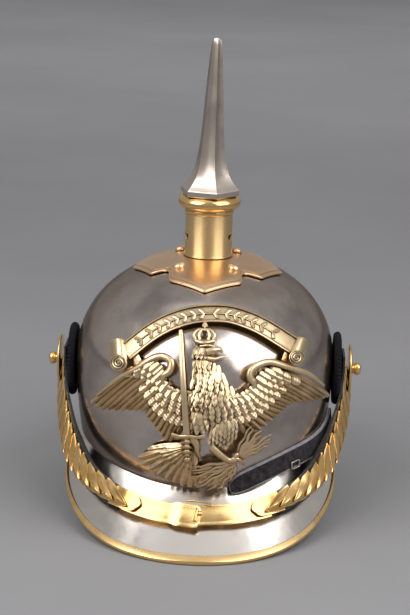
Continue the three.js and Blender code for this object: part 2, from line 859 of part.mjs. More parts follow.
// Loose strap: lies on the skull's right side, its free end near the middle. Turns from the front, levels
// as shares of the widest level, widths as shares of the strap's.
const strapRoute = [
  { turn: 82, level: 0.6, width: 1 },
  { turn: 70, level: 0.545, width: 1 },
  { turn: 58, level: 0.525, width: 1 },
  { turn: 45, level: 0.51, width: 1 },
  { turn: 36, level: 0.485, width: 1 },
  { turn: 28, level: 0.45, width: 1 },
  { turn: 21, level: 0.41, width: 1 },
  { turn: 17, level: 0.385, width: 0.86 },
  { turn: 15, level: 0.372, width: 0.55 },
  { turn: 14.2, level: 0.366, width: 0.25 },
];

// How far the visor's face stands out beyond the skull's surface below the skull's rim.
function visorStandoff(turn, level) {
  const root = skirtPoint(turn, 0);
  const drop = THREE.MathUtils.clamp((root.z - level) / (root.z - skirtPoint(turn, 1).z), 0, 1);
  const face = skirtPoint(turn, drop);
  const skull = skullPoint(turn, level, 0);
  return drop > 0 ? Math.hypot(face.x, face.y) - Math.hypot(skull.x, skull.y) : 0;
}

function strapPoint({ turn, level, width }, across, depth) {
  const height = widestLevel * level + (strapWidth / 2) * width * across;
  const tilted = strapTilt * (1 - across);
  const stand = seatGap + Math.max(tilted, visorStandoff(radians(turn), height));
  return skullPoint(radians(turn), height, stand + depth);
}

// Two stops for each one in the route, along a smooth line through them.
function strapStops() {
  const line = new THREE.CatmullRomCurve3(
    strapRoute.map(({ turn, level, width }) => new THREE.Vector3(turn, level, width)),
  );
  return steps(2 * (strapRoute.length - 1), 0, 1).map((share) => {
    const stop = line.getPoint(share);
    return { turn: stop.x, level: stop.y, width: stop.z };
  });
}

function buildLooseStrap() {
  const acrossShares = [-1, 0, 1];
  const stops = strapStops();
  const grid = (depth) => acrossShares.map((across) => stops.map((stop) => strapPoint(stop, across, depth)));
  addPiece("loose_strap", wallSolid(grid(strapWall), grid(0)), greySuede());
}

function buildStrapBuckle() {
  const frame = new THREE.Shape([
    new THREE.Vector2(-buckleLength / 2, -buckleWidth / 2),
    new THREE.Vector2(buckleLength / 2, -buckleWidth / 2),
    new THREE.Vector2(buckleLength / 2, buckleWidth / 2),
    new THREE.Vector2(-buckleLength / 2, buckleWidth / 2),
  ]);
  const inside = [
    [-1, -1],
    [-1, 1],
    [1, 1],
    [1, -1],
  ].map(
    ([across, up]) =>
      new THREE.Vector2(across * (buckleLength / 2 - buckleWire), up * (buckleWidth / 2 - buckleWire)),
  );
  frame.holes.push(new THREE.Path(inside));
  const geometry = new THREE.ExtrudeGeometry(frame, { depth: buckleWire, bevelEnabled: false });
  const [before, stop, after] = strapRoute.slice(2);
  const buckle = addPiece("strap_buckle", geometry, warmNickel());
  const over = (at, depth) => strapPoint(at, buckleAcross, strapWall + depth);
  const place = over(stop, buckleStand);
  buckle.position.copy(place);
  const out = over(stop, 2).sub(place).normalize();
  const along = over(after, 1).sub(over(before, 1));
  along.addScaledVector(out, -along.dot(out)).normalize();
  const across = new THREE.Vector3().crossVectors(out, along);
  buckle.quaternion.setFromRotationMatrix(new THREE.Matrix4().makeBasis(along, across, out));
}

// Badge and scroll: drawn flat on a grid whose rows divide the badge's height, then pressed back along
// the badge's own facing onto the skull. u runs to the viewer's right, v up, w out from the back.

const badgeGrid = badgeHeight / badgeRowCount;
const badgeFacing = new THREE.Vector3(0, -Math.cos(radians(badgeLean)), Math.sin(radians(badgeLean)));
const badgeUp = new THREE.Vector3(0, Math.sin(radians(badgeLean)), Math.cos(radians(badgeLean)));
const badgeOrigin = skullPoint(0, badgeFootLevel, badgeStandoff).setX(badgeShift);

// Where a line along the badge's facing leaves the skull's outside moved out by offset.
function pressedOnto(start, offset) {
  const outside = (point) => {
    const share = skullShare(point.z, offset);
    return Math.hypot(point.x / (skullHalfWidth + offset), point.y / (skullHalfLength + offset)) > share;
  };
  let near = -skullHalfLength;
  let far = skullHalfLength;
  for (let halving = 0; halving < 36; halving += 1) {
    const middle = (near + far) / 2;
    if (outside(start.clone().addScaledVector(badgeFacing, middle))) far = middle;
    else near = middle;
  }
  return start.clone().addScaledVector(badgeFacing, far);
}

// The badge's back stands further off the skull towards its sides.
const badgeStand = (u) => badgeStandoff + badgeSpring * (u / badgeRowCount) ** 2;

function badgePoint(u, v, w) {
  const flat = badgeOrigin.clone().addScaledVector(badgeUp, v * badgeGrid);
  flat.x += u * badgeGrid;
  return pressedOnto(flat, badgeStand(u) + w);
}

// A feather, bar or blade: its flat back lies at w 0, its face falls from the root's height to the tip's.
function leafSolid({ from, to, halves, heights }) {
  const along = new THREE.Vector2(to[0] - from[0], to[1] - from[1]);
  const aside = new THREE.Vector2(-along.y, along.x).normalize();
  const shares = steps(halves.length - 1, 0, 1);
  const grid = (height) =>
    [-1, 1].map((side) =>
      shares.map(
        (share, index) =>
          new THREE.Vector3(
            from[0] + along.x * share + aside.x * halves[index] * side,
            from[1] + along.y * share + aside.y * halves[index] * side,
            height(share),
          ),
      ),
    );
  const face = grid((share) => THREE.MathUtils.lerp(heights[0], heights[1], share));
  return wallSolid(face, grid(() => 0));
}

// A rounded swelling on the back plane.
function swellingSolid({ at, halves, height, lean }) {
  const count = 8;
  const tilt = radians(lean);
  const ring = (share, w) =>
    steps(count, 0, 2 * Math.PI)
      .slice(0, count)
      .map((turn) => {
        const x = halves[0] * share * Math.cos(turn);
        const y = halves[1] * share * Math.sin(turn);
        return new THREE.Vector3(
          at[0] + x * Math.cos(tilt) - y * Math.sin(tilt),
          at[1] + x * Math.sin(tilt) + y * Math.cos(tilt),
          w,
        );
      });
  const rings = [ring(1, 0), ring(0.92, height * 0.5), ring(0.55, height * 0.9)];
  return ringSolid(new THREE.Vector3(...at, 0), rings, new THREE.Vector3(...at, height));
}

// A screw post behind the badge, which seats it on the skull.
function postSolid([u, v]) {
  const foot = -(badgeStand(u) - seatGap) / badgeGrid;
  const ring = (w) =>
    steps(8, 0, 2 * Math.PI)
      .slice(0, 8)
      .map((turn) => {
        const reach = badgePostRadius / badgeGrid;
        return new THREE.Vector3(u + reach * Math.cos(turn), v + reach * Math.sin(turn), w);
      });
  return ringSolid(new THREE.Vector3(u, v, foot), [ring(foot), ring(1)], new THREE.Vector3(u, v, 1));
}

// Wings: feathers from points along the root line to points along the tip line, both on the grid.
const wings = [
  {
    primaryTips: [[-115, 86], [-96, 83], [-78, 83], [-64, 83]],
    primaryRoots: [[-46, 130], [-39, 119], [-36, 109], [-36, 100]],
    secondaryTips: [[-53, 76], [-45, 66], [-36, 56], [-26, 57]],
    secondaryRoots: [[-34, 98], [-28, 96], [-20, 93], [-10, 90]],
    arm: [[-12, 102], [-29, 104], [-33, 127], [-44, 136], [-74, 122], [-108, 92]],
    coverts: [[-54, 114], [-30, 86]],
  },
  {
    primaryTips: [[127, 102], [116, 98], [100, 97], [84, 93]],
    primaryRoots: [[60, 126], [52, 118], [48, 107], [42, 99]],
    secondaryTips: [[78, 86], [67, 76], [56, 67], [46, 63]],
    secondaryRoots: [[42, 97], [37, 94], [29, 91], [20, 89]],
    arm: [[20, 99], [44, 101], [48, 122], [62, 134], [90, 129], [122, 113]],
    coverts: [[72, 114], [46, 88]],
  },
];

const flatCurve = (points) => new THREE.SplineCurve(points.map(([u, v]) => new THREE.Vector2(u, v)));

function wingSolids(wing) {
  const fan = (count, roots, tips, half) =>
    steps(count - 1, 0, 1).map((share) =>
      leafSolid({
        from: flatCurve(roots).getPoint(share).toArray(),
        to: flatCurve(tips).getPoint(share).toArray(),
        halves: [half, half, half * 0.4],
        heights: [3.4, 1.6],
      }),
    );
  const arm = wing.arm.slice(1).map((to, index) => {
    const half = 4.6 - (2 * index) / wing.arm.length;
    return leafSolid({ from: wing.arm[index], to, halves: [half, half], heights: [4.6, 4.2] });
  });
  const coverts = wing.coverts.map((to, index) => {
    const from = wing.arm[4 - 2 * index];
    return leafSolid({ from, to, halves: [14, 12], heights: [4, 3.6] });
  });
  return [
    ...fan(5, wing.primaryRoots, wing.primaryTips, 6.5),
    ...fan(4, wing.secondaryRoots, wing.secondaryTips, 6.5),
    ...coverts,
    ...arm,
  ];
}

// Rounded parts of the eagle, their lean in degrees
const eagleSwellings = [
  { at: [8, 96], halves: [19, 22], height: 7.2, lean: -12 },
  { at: [3, 122], halves: [13, 19], height: 6.2, lean: -14 },
  { at: [4, 145], halves: [12, 9], height: 6.4, lean: 0 },
  { at: [-1, 158], halves: [11, 8], height: 4.6, lean: 0 },
  { at: [-2, 71], halves: [10, 16], height: 6.4, lean: 0 },
  { at: [22, 64], halves: [18, 11], height: 6.6, lean: 42 },
  { at: [8, 70], halves: [14, 18], height: 4.8, lean: 0 },
  { at: [-14, 34], halves: [5, 5], height: 4.6, lean: 0 },
];

// Straight parts: beak, cross, sword, legs, claw and the bundle of bolts
const eagleLeaves = [
  { from: [11, 147], to: [20, 143], halves: [4, 3, 0.8], heights: [5.6, 4] },
  { from: [12, 140], to: [23, 136], halves: [2.4, 0.8], heights: [4.4, 3] },
  { from: [-1, 160], to: [-1, 169.5], halves: [2, 2.4], heights: [4.2, 3.6] },
  { from: [-15, 60], to: [-25, 163], halves: [3, 2.5, 0.8], heights: [5.4, 3.2] },
  { from: [-29, 57], to: [2, 58], halves: [2, 2], heights: [5, 5] },
  { from: [-15, 57], to: [-14, 36], halves: [3.4, 3.8, 3.2], heights: [5.2, 5] },
  { from: [-4, 58], to: [-2, 40], halves: [7, 3], heights: [5, 4] },
  { from: [-4, 42], to: [2, 34], halves: [4, 1.6], heights: [4.6, 3.6] },
  { from: [10, 50], to: [34, 36], halves: [6, 4, 3.6], heights: [5.6, 5.6] },
  { from: [34, 38], to: [42, 30], halves: [4, 1.4], heights: [5.6, 4] },
  { from: [30, 30], to: [72, 60], halves: [3.4, 6, 2], heights: [4.6, 3.4] },
  { from: [34, 34], to: [52, 72], halves: [3.4, 4.4, 1.6], heights: [4.6, 3.2] },
  { from: [36, 36], to: [-10, 24], halves: [4, 5.4, 2], heights: [4.6, 3.2] },
  { from: [34, 32], to: [-8, 13], halves: [4, 5.4, 2], heights: [4.4, 3] },
  { from: [34, 29], to: [6, 5], halves: [4, 5, 2], heights: [4.2, 3] },
  { from: [34, 28], to: [21, 6], halves: [4, 4, 1.6], heights: [4, 3] },
];

const tailRoot = [-8, 48];
const tailTips = [
  [-55, 40],
  [-62, 30],
  [-46, 19],
  [-28, 11],
  [-8, 6],
];
const eaglePosts = [
  [6, 92],
  [-52, 108],
  [62, 112],
  [-6, 40],
];

function buildEagle() {
  const tail = tailTips.map((tip) =>
    leafSolid({ from: tailRoot, to: tip, halves: [4, 5, 2], heights: [4, 2.2] }),
  );
  const solids = [
    ...wings.flatMap(wingSolids),
    ...eagleSwellings.map(swellingSolid),
    ...eagleLeaves.map(leafSolid),
    ...tail,
    ...eaglePosts.map(postSolid),
  ];
  addPiece("eagle_badge", pressed(joined(solids)), antiqueBrass());
}

// Scroll: a band that arches over the crown, with both ends rolled up
const scrollMiddle = [
  [-80, 139],
  [-56, 159],
  [-38, 170],
  [-20, 177],
  [-2, 180.5],
  [20, 181],
  [38, 177],
  [58, 169],
  [88, 152],
];
const scrollRolls = [
  { at: [-86, 139], halves: [12, 18], height: 10, lean: 8 },
  { at: [95, 150], halves: [10, 17], height: 10, lean: -10 },
];
const scrollPosts = [
  [-55, 160],
  [58, 169],
];

function buildScroll() {
  const columns = 18;
  const line = flatCurve(scrollMiddle);
  const half = scrollWidth / 2 / badgeGrid;
  const wall = scrollWall / badgeGrid;
  const grid = (w) =>
    [-1, 1].map((side) =>
      steps(columns, 0, 1).map((share) => {
        const middle = line.getPoint(share);
        const along = line.getTangent(share);
        return new THREE.Vector3(middle.x - along.y * half * side, middle.y + along.x * half * side, w);
      }),
    );
  const band = wallSolid(grid(wall), grid(0));
  const solids = [band, ...scrollRolls.map(swellingSolid), ...scrollPosts.map(postSolid)];
  addPiece("scroll_banner", pressed(joined(solids)), antiqueBrass());
}

function pressed(solid) {
  const geometry = splitLongEdges(toGeometry(solid), badgeFacet / badgeGrid);
  const position = geometry.getAttribute("position");
  for (let i = 0; i < position.count; i += 1) {
    const bent = badgePoint(position.getX(i), position.getY(i), position.getZ(i) * badgeGrid);
    position.setXYZ(i, bent.x, bent.y, bent.z);
  }
  geometry.computeVertexNormals();
  return geometry;
}

buildSkull();
buildVisor();
buildNeckLames();
buildTrim("visor_trim", visorTurns);
buildTrim("neck_guard_trim", neckTurns);
buildCrossBase();
buildStuds();
buildNeckTube();
buildCollar();
buildSpike();
for (const [side, label] of [
  [-1, "left"],
  [1, "right"],
]) {
  buildBosses(side, label);
  buildChinLeather(side, label);
  buildChain(side, label);
}
buildLooseStrap();
buildStrapBuckle();
buildEagle();
buildScroll();

// The helmet stands on the surface, with its box centred on the origin.
const box = new THREE.Box3().setFromObject(helmet, true);
const middle = box.getCenter(new THREE.Vector3());
helmet.position.set(-middle.x, -middle.y, -box.min.z);

export default helmet;
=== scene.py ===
"""A cavalry officer's spiked helmet: smooth skins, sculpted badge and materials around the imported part.

Sizes are in millimetres unless a name says otherwise, and turn into metres when a mesh is made.
"""
import math

import bmesh
import bpy
import numpy as np
from mathutils import Matrix, Vector


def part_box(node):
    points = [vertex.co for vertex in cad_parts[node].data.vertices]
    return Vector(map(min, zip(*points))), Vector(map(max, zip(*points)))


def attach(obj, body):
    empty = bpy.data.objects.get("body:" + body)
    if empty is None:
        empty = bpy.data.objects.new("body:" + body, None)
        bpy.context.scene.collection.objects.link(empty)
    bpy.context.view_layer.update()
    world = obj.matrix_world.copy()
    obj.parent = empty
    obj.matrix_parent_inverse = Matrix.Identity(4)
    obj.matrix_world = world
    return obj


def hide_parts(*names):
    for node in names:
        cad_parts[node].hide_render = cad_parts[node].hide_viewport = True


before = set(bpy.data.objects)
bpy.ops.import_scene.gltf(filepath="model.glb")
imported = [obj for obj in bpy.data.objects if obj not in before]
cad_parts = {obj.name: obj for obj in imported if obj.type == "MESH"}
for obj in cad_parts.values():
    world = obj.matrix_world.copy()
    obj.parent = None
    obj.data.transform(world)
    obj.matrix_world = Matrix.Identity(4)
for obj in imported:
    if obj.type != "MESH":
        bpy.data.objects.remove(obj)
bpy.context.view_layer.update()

MM = 0.001
SHARP_EDGE = 38.0

# Sizes shared with the part.
SKULL_HALF_WIDTH = 95.0
SKULL_HALF_LENGTH = 112.0
DOME_HEIGHT = 75.0
DOME_FULLNESS = 2.14
WIDEST_LEVEL = 101.0
DOME_TOP = WIDEST_LEVEL + DOME_HEIGHT
WALL_CURVE_DEPTH = 187.0
SKULL_WALL = 1.2
SKULL_RIM_LEVEL = 36.0
SKULL_RIM_EAR_LIFT = 11.0
VISOR_REACH = 150.5
NECK_REACH = 146.5
RIM_HALF_WIDTH = 98.0
RIM_WIDEST_AHEAD = 36.0
RIM_EAR_LIFT = 29.0
SHEET_WALL = 1.1
FLANGE_HEIGHT = 6.0
FLARE_EASE = 1.2
LAME_OVERLAP = 0.07
SEAT_GAP = 0.35
RIM_PLAY = 0.3
EAR_GAP = 0.5
TRIM_LEG = 4.6
TRIM_WALL = 0.9
TRIM_EAR_SHARE = 0.45
BASE_FRONT_REACH = 63.2
BASE_SIDE_REACH = 54.6
BASE_THICKNESS = 2.0
BASE_CLEARANCE = 0.75
STUD_RADIUS = 4.2
STUD_HEIGHT = 3.3
TUBE_RADIUS = 17.2
TUBE_HEIGHT = 31.0
TUBE_WALL = 1.2
TUBE_FOOT_FLARE = 1.8
VENT_WIDTH = 8.0
VENT_HEIGHT = 5.8
VENT_TURN = 70.0
VENT_LEVEL_SHARE = 0.33
COLLAR_RADIUS = 22.7
COLLAR_HEIGHT = 13.0
BEAD_RADIUS = 18.4
PLINTH_RADIUS = 22.1
PLINTH_HEIGHT = 4.5
PLINTH_HOLLOW = 0.87
SPIKE_HEIGHT = 113.5
SPIKE_TURN = 15.0
SPIKE_LEAN = 1.0
BOSS_LEVEL = 94.5
COCKADE_RADIUS = 27.2
COCKADE_DEPTH = 6.0
ROSETTE_RADIUS = 18.0
ROSETTE_DEPTH = 3.2
KNOB_RADIUS = 4.8
KNOB_LENGTH = 6.2
SCALE_COUNT = 13
SCALE_PITCH = 11.2
SCALE_START = 9.0
SCALE_WALL = 0.8
SCALE_LENGTH_SHARE = 1.55
SCALE_WIDTH_AT_BOSS = 27.0
SCALE_WIDTH_AT_FRONT = 16.0
SCALE_CAMBER = 1.6
LEATHER_WALL = 1.5
LEATHER_SHOWN_SHARE = 0.84
LEATHER_INWARD = 0.35
FRONT_PLATE_LENGTH = 24.0
END_PLATE_REACH = 4.0
FRONT_LEAN = 40.0
CHAIN_CLEARANCE = 1.7
CHAIN_EDGE_DROP = 0.5
STRAP_WIDTH = 15.5
STRAP_WALL = 1.8
STRAP_TILT = 1.6
BUCKLE_LENGTH = 9.0
BUCKLE_WIDTH = 6.5
BUCKLE_WIRE = 1.3
BUCKLE_ACROSS = -0.6
BADGE_HEIGHT = 117.6
BADGE_GRID_ROWS = 170
BADGE_FOOT_LEVEL = 33.0
BADGE_SHIFT = 2.6
BADGE_LEAN = 17.0
BADGE_STANDOFF = 3.0
BADGE_SPRING = 4.0
SCROLL_WIDTH = 12.6

# The part's own frame sits a little off the one that the sizes above are in.
SKULL_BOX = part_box("skull")
SHIFT = np.array([
    0.0,
    (SKULL_BOX[0].y + SKULL_BOX[1].y) / 2 / MM,
    SKULL_BOX[1].z / MM - DOME_TOP,
])


def rad(degrees):
    return degrees * math.pi / 180


def cosd(degrees):
    return math.cos(rad(degrees))


def sind(degrees):
    return math.sin(rad(degrees))


def smoothstep(value, low, high):
    share = np.clip((np.asarray(value, float) - low) / (high - low), 0, 1)
    return share * share * (3 - 2 * share)


def unit(vectors):
    return vectors / np.maximum(np.linalg.norm(vectors, axis=-1, keepdims=True), 1e-9)


def join(x, y, z):
    """Points from their coordinates, of any shapes that go together."""
    return np.stack(np.broadcast_arrays(x, y, z), -1)


def full_turn(count):
    return np.linspace(0, 2 * np.pi, count, endpoint=False)


def table(columns, *rows):
    """The rows as dictionaries under the names of the columns."""
    return [dict(zip(columns.split(), row)) for row in rows]


def catmull(points, count):
    """A smooth open line through the points, sampled evenly in parameter."""
    p = np.asarray(points, float)
    p = np.vstack([2 * p[0] - p[1], p, 2 * p[-1] - p[-2]])
    t = np.linspace(0, len(p) - 3 - 1e-9, count)
    i = t.astype(int)
    f = (t - i)[:, None]
    a, b, c, d = p[i], p[i + 1], p[i + 2], p[i + 3]
    cubic = 3 * b - a - 3 * c + d
    return 0.5 * (2 * b + (c - a) * f + (2 * a - 5 * b + 4 * c - d) * f ** 2 + cubic * f ** 3)


def grid_faces(rows, columns, closed=False, start=0, flip=False):
    faces = []
    for row in range(rows - 1):
        for column in range(columns if closed else columns - 1):
            a = start + row * columns + column
            b = start + row * columns + (column + 1) % columns
            faces.append((a, a + columns, b + columns, b) if flip else (a, b, b + columns, a + columns))
    return faces


def wall_mesh(outer, inner):
    """Vertices and faces of a closed wall between two grids of points."""
    rows, columns = outer.shape[:2]
    count = rows * columns
    faces = grid_faces(rows, columns) + grid_faces(rows, columns, start=count, flip=True)
    first, last = 0, (rows - 1) * columns
    for a in range(columns - 1):
        faces.append((first + a, count + first + a, count + first + a + 1, first + a + 1))
        faces.append((last + a, last + a + 1, count + last + a + 1, count + last + a))
    for row in range(rows - 1):
        left = row * columns
        right = left + columns - 1
        faces.append((left, left + columns, count + left + columns, count + left))
        faces.append((right, count + right, count + right + columns, right + columns))
    return np.concatenate([outer.reshape(-1, 3), inner.reshape(-1, 3)]), faces


def lathe_mesh(profile, segments=96):
    """A profile of (radius, level) turned about Z, with poles where the radius is 0."""
    turns = full_turn(segments)
    verts, rings = [], []
    for radius, level in profile:
        if radius == 0:
            rings.append([len(verts)] * segments)
            verts.append((0, 0, level))
        else:
            rings.append(list(range(len(verts), len(verts) + segments)))
            verts += [(radius * math.cos(t), radius * math.sin(t), level) for t in turns]
    faces = []
    for lower, upper in zip(rings, rings[1:]):
        for i in range(segments):
            j = (i + 1) % segments
            face = [lower[i], lower[j], upper[j], upper[i]]
            face = [v for k, v in enumerate(face) if v != face[k - 1]]
            if len(face) > 2:
                faces.append(tuple(face))
    return np.array(verts, float), faces


def ring_mesh(rings, first_pole, last_pole):
    """A closed skin from a first pole over closed rings of points to a last pole."""
    rings = np.asarray(rings, float)
    rows, columns = rings.shape[:2]
    verts = np.concatenate([[first_pole], rings.reshape(-1, 3), [last_pole]])
    faces = grid_faces(rows, columns, closed=True, start=1)
    last_ring = 1 + (rows - 1) * columns
    for i in range(columns):
        j = (i + 1) % columns
        faces.append((0, 1 + j, 1 + i))
        faces.append((len(verts) - 1, last_ring + i, last_ring + j))
    return verts, faces


def merged(parts):
    """One list of vertices and faces from several."""
    verts, faces, count = [], [], 0
    for part_verts, part_faces in parts:
        verts.append(np.asarray(part_verts, float).reshape(-1, 3))
        faces += [tuple(i + count for i in face) for face in part_faces]
        count += len(verts[-1])
    return np.concatenate(verts), faces


def new_mesh(name, verts, faces, sharp):
    mesh = bpy.data.meshes.new(name)
    mesh.from_pydata([tuple(v) for v in (np.asarray(verts) + SHIFT) * MM], [], faces)
    work = bmesh.new()
    work.from_mesh(mesh)
    bmesh.ops.recalc_face_normals(work, faces=work.faces)
    work.to_mesh(mesh)
    work.free()
    mesh.shade_smooth()
    mesh.set_sharp_from_angle(angle=rad(sharp))
    return mesh


def add_object(name, data):
    added = bpy.data.objects.new(name, data)
    bpy.context.scene.collection.objects.link(added)
    return added


def add_piece(name, verts, faces, material, *nodes, sharp=SHARP_EDGE):
    """A piece of the object that rides with the part and stands for the CAD nodes named."""
    piece = add_object(name, new_mesh(name, verts, faces, sharp))
    piece.data.materials.append(material)
    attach(piece, "root")
    if nodes:
        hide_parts(*nodes)
    return piece


def material_nodes(name):
    material = bpy.data.materials.new(name)
    material.use_nodes = True
    return material, material.node_tree, material.node_tree.nodes["Principled BSDF"]


def add_node(tree, kind, inputs, **settings):
    """A shader node with its settings made and each input linked to a socket or set to a value."""
    made = tree.nodes.new("ShaderNode" + kind)
    for name, value in settings.items():
        setattr(made, name, value)
    for name, value in inputs.items():
        if isinstance(value, bpy.types.NodeSocket):
            tree.links.new(value, made.inputs[name])
        else:
            made.inputs[name].default_value = value
    return made


def noise(tree, scale, detail=4.0, roughness=0.5, stretch=(1, 1, 1)):
    place = add_node(tree, "TexCoord", {}).outputs["Object"]
    mapped = add_node(tree, "Mapping", {"Vector": place, "Scale": stretch}).outputs["Vector"]
    inputs = {"Vector": mapped, "Scale": scale, "Detail": detail, "Roughness": roughness}
    return add_node(tree, "TexNoise", inputs).outputs["Fac"]


def ramp(tree, value, stops):
    made = add_node(tree, "ValToRGB", {"Fac": value})
    elements = made.color_ramp.elements
    while len(elements) > 1:
        elements.remove(elements[-1])
    elements[0].position, elements[0].color = stops[0][0], (*stops[0][1], 1)
    for position, color in stops[1:]:
        elements.new(position).color = (*color, 1)
    return made.outputs["Color"]


def math_node(tree, operation, *values):
    return add_node(tree, "Math", dict(enumerate(values)), operation=operation).outputs[0]


def map_range(tree, value, low, high, to_low=0.0, to_high=1.0):
    inputs = {"Value": value, "From Min": low, "From Max": high, "To Min": to_low, "To Max": to_high}
    return add_node(tree, "MapRange", inputs).outputs["Result"]


def mix_color(tree, factor, a, b):
    ends = {name: (*end, 1) if isinstance(end, tuple) else end for name, end in (("A", a), ("B", b))}
    return add_node(tree, "Mix", {"Factor": factor, **ends}, data_type="RGBA").outputs["Result"]


def bump(tree, shader, height, strength, distance):
    made = add_node(tree, "Bump", {"Height": height, "Strength": strength, "Distance": distance})
    tree.links.new(made.outputs["Normal"], shader.inputs["Normal"])


def crease_shade_mask(tree):
    """1 on convex edges and flat faces, falling to 0 in creases, from the surface's pointiness; it sets
    where painted shade falls in creases.
    """
    geometry = add_node(tree, "NewGeometry", {})
    return map_range(tree, geometry.outputs["Pointiness"], 0.4, 0.52)


def groove_shade_mask(tree, depth):
    """1 on open faces, falling to 0 down in grooves about depth millimetres wide, from ambient occlusion;
    it sets where painted shade falls in grooves.
    """
    shade = add_node(tree, "AmbientOcclusion", {"Distance": depth * MM}, samples=6, only_local=True)
    return map_range(tree, shade.outputs["AO"], 0.35, 0.92)


def metal(name, stops, rough, clouds=14.0, rough_spread=0.08, shade_color=None, depth=2.0):
    """Metal whose colour drifts in clouds, with fine scratches and uneven polish, and painted shade in
    creases and grooves when a shade colour is given.
    """
    material, tree, shader = material_nodes(name)
    color = ramp(tree, noise(tree, clouds, 5.0, 0.55), stops)
    # painted shade: the colour falls towards the shade colour in creases and in grooves about depth
    # millimetres wide
    if shade_color:
        unshaded_share = math_node(tree, "MULTIPLY", crease_shade_mask(tree), groove_shade_mask(tree, depth))
        color = mix_color(tree, unshaded_share, shade_color, color)
    polish = map_range(tree, noise(tree, 60.0, 6.0, 0.65), 0.3, 0.75, rough - rough_spread / 2,
                       rough + rough_spread)
    tree.links.new(color, shader.inputs["Base Color"])
    tree.links.new(polish, shader.inputs["Roughness"])
    shader.inputs["Metallic"].default_value = 1.0
    scratches = noise(tree, 900.0, 3.0, 0.7, (1, 1, 0.12))
    bump(tree, shader, scratches, 0.05, 0.0002)
    return material


def turned(material):
    """Marks the metal as turned on a lathe, so that its highlights draw out along the axis."""
    tree = material.node_tree
    shader = tree.nodes["Principled BSDF"]
    tangent = add_node(tree, "Tangent", {}, direction_type="RADIAL", axis="Z")
    tree.links.new(tangent.outputs["Tangent"], shader.inputs["Tangent"])
    shader.inputs["Anisotropic"].default_value = 0.9
    shader.inputs["Anisotropic Rotation"].default_value = 0.25
    return material


def with_painted_leather_reflection(material):
    """Paints a dark reflection of the chain's leather, which hangs against the sides, into the metal's
    colour, in soft patches low on both sides.
    """
    tree = material.node_tree
    shader = tree.nodes["Principled BSDF"]
    color = shader.inputs["Base Color"].links[0].from_socket
    place = add_node(tree, "TexCoord", {}).outputs["Object"]
    axes = add_node(tree, "SeparateXYZ", {"Vector": place}).outputs
    drift = map_range(tree, noise(tree, 45.0, 5.0, 0.6), 0.3, 0.7, -0.016, 0.016)
    aside = math_node(tree, "ADD", math_node(tree, "ABSOLUTE", axes["X"]), drift)
    level = math_node(tree, "ADD", axes["Z"], drift)
    reflected_leather_share = math_node(tree, "MULTIPLY", map_range(tree, aside, 0.045, 0.088, 0.0, 0.85),
                     map_range(tree, level, 0.085, 0.045))
    # painted reflection: a dark brown mixed into the colour where the chain's black leather would be
    # mirrored
    tree.links.new(mix_color(tree, reflected_leather_share, color, (0.12, 0.1, 0.09)), shader.inputs["Base Color"])
    shader.inputs["Specular Tint"].default_value = (0.5, 0.46, 0.44, 1)
    return material


def leathery(name, color, light, rough, grain, strength, sheen=0.0, gloss=0.5):
    """Leather or cloth with patches between two colours, a fine grain and a share of gloss."""
    material, tree, shader = material_nodes(name)
    patch = noise(tree, grain * 0.2, 5.0, 0.6)
    tree.links.new(ramp(tree, patch, [(0.3, color), (0.75, light)]), shader.inputs["Base Color"])
    tree.links.new(map_range(tree, patch, 0.2, 0.8, rough - 0.08, rough + 0.08), shader.inputs["Roughness"])
    shader.inputs["Sheen Weight"].default_value = sheen
    shader.inputs["Specular IOR Level"].default_value = gloss
    bump(tree, shader, noise(tree, grain, 4.0, 0.6), strength, 0.0004)
    return material


# The skull's steel carries a painted dark reflection of the chain's leather low on its sides.
STEEL = with_painted_leather_reflection(metal(
    "polished_steel", [(0.34, (0.4, 0.355, 0.33)), (0.52, (0.62, 0.55, 0.5)), (0.68, (0.54, 0.45, 0.38))],
    rough=0.18, clouds=19.0, rough_spread=0.09))
VISOR_STEEL = metal("visor_steel", [(0.3, (0.66, 0.61, 0.57)), (0.7, (0.78, 0.73, 0.68))], rough=0.19)
SATIN_BRASS = metal("satin_brass", [(0.3, (0.7, 0.46, 0.19)), (0.7, (0.84, 0.6, 0.3))], rough=0.28,
                    clouds=24.0)
# Bright brass, rosy brass and the badge's brass get painted shade in their creases and grooves.
BRIGHT_BRASS = metal("bright_brass", [(0.3, (0.84, 0.53, 0.19)), (0.7, (0.95, 0.67, 0.31))], rough=0.2,
                     clouds=30.0, shade_color=(0.3, 0.15, 0.05), depth=2.5)
TURNED_BRASS = turned(metal(
    "turned_brass", [(0.3, (0.74, 0.5, 0.22)), (0.7, (0.88, 0.65, 0.34))], rough=0.36, clouds=24.0))
ROSY_BRASS = metal("rosy_brass", [(0.3, (0.88, 0.56, 0.31)), (0.7, (0.96, 0.7, 0.45))], rough=0.3,
                   clouds=26.0, shade_color=(0.4, 0.2, 0.1))
NICKEL = metal("warm_nickel", [(0.3, (0.52, 0.44, 0.38)), (0.7, (0.66, 0.58, 0.51))], rough=0.3,
               clouds=20.0)
ANTIQUE_BRASS_SHADED = metal("antique_brass", [(0.3, (0.72, 0.53, 0.31)), (0.7, (0.9, 0.71, 0.46))], rough=0.33,
                clouds=40.0, rough_spread=0.12, shade_color=(0.05, 0.03, 0.016), depth=2.4)
SILK = leathery("black_silk", (0.008, 0.008, 0.011), (0.014, 0.013, 0.017), rough=0.8, grain=1400.0,
                strength=0.35, gloss=0.15)
LEATHER = leathery("black_leather", (0.012, 0.01, 0.011), (0.03, 0.026, 0.026), rough=0.42, grain=900.0,
                   strength=0.4)
SUEDE = leathery("grey_suede", (0.01, 0.009, 0.011), (0.07, 0.063, 0.072), rough=0.85, grain=1500.0,
                 strength=0.7, sheen=0.05, gloss=0.15)
SUEDE_EDGE = leathery("suede_edge", (0.2, 0.19, 0.21), (0.42, 0.4, 0.43), rough=0.7, grain=1200.0,
                      strength=0.4, sheen=0.3)


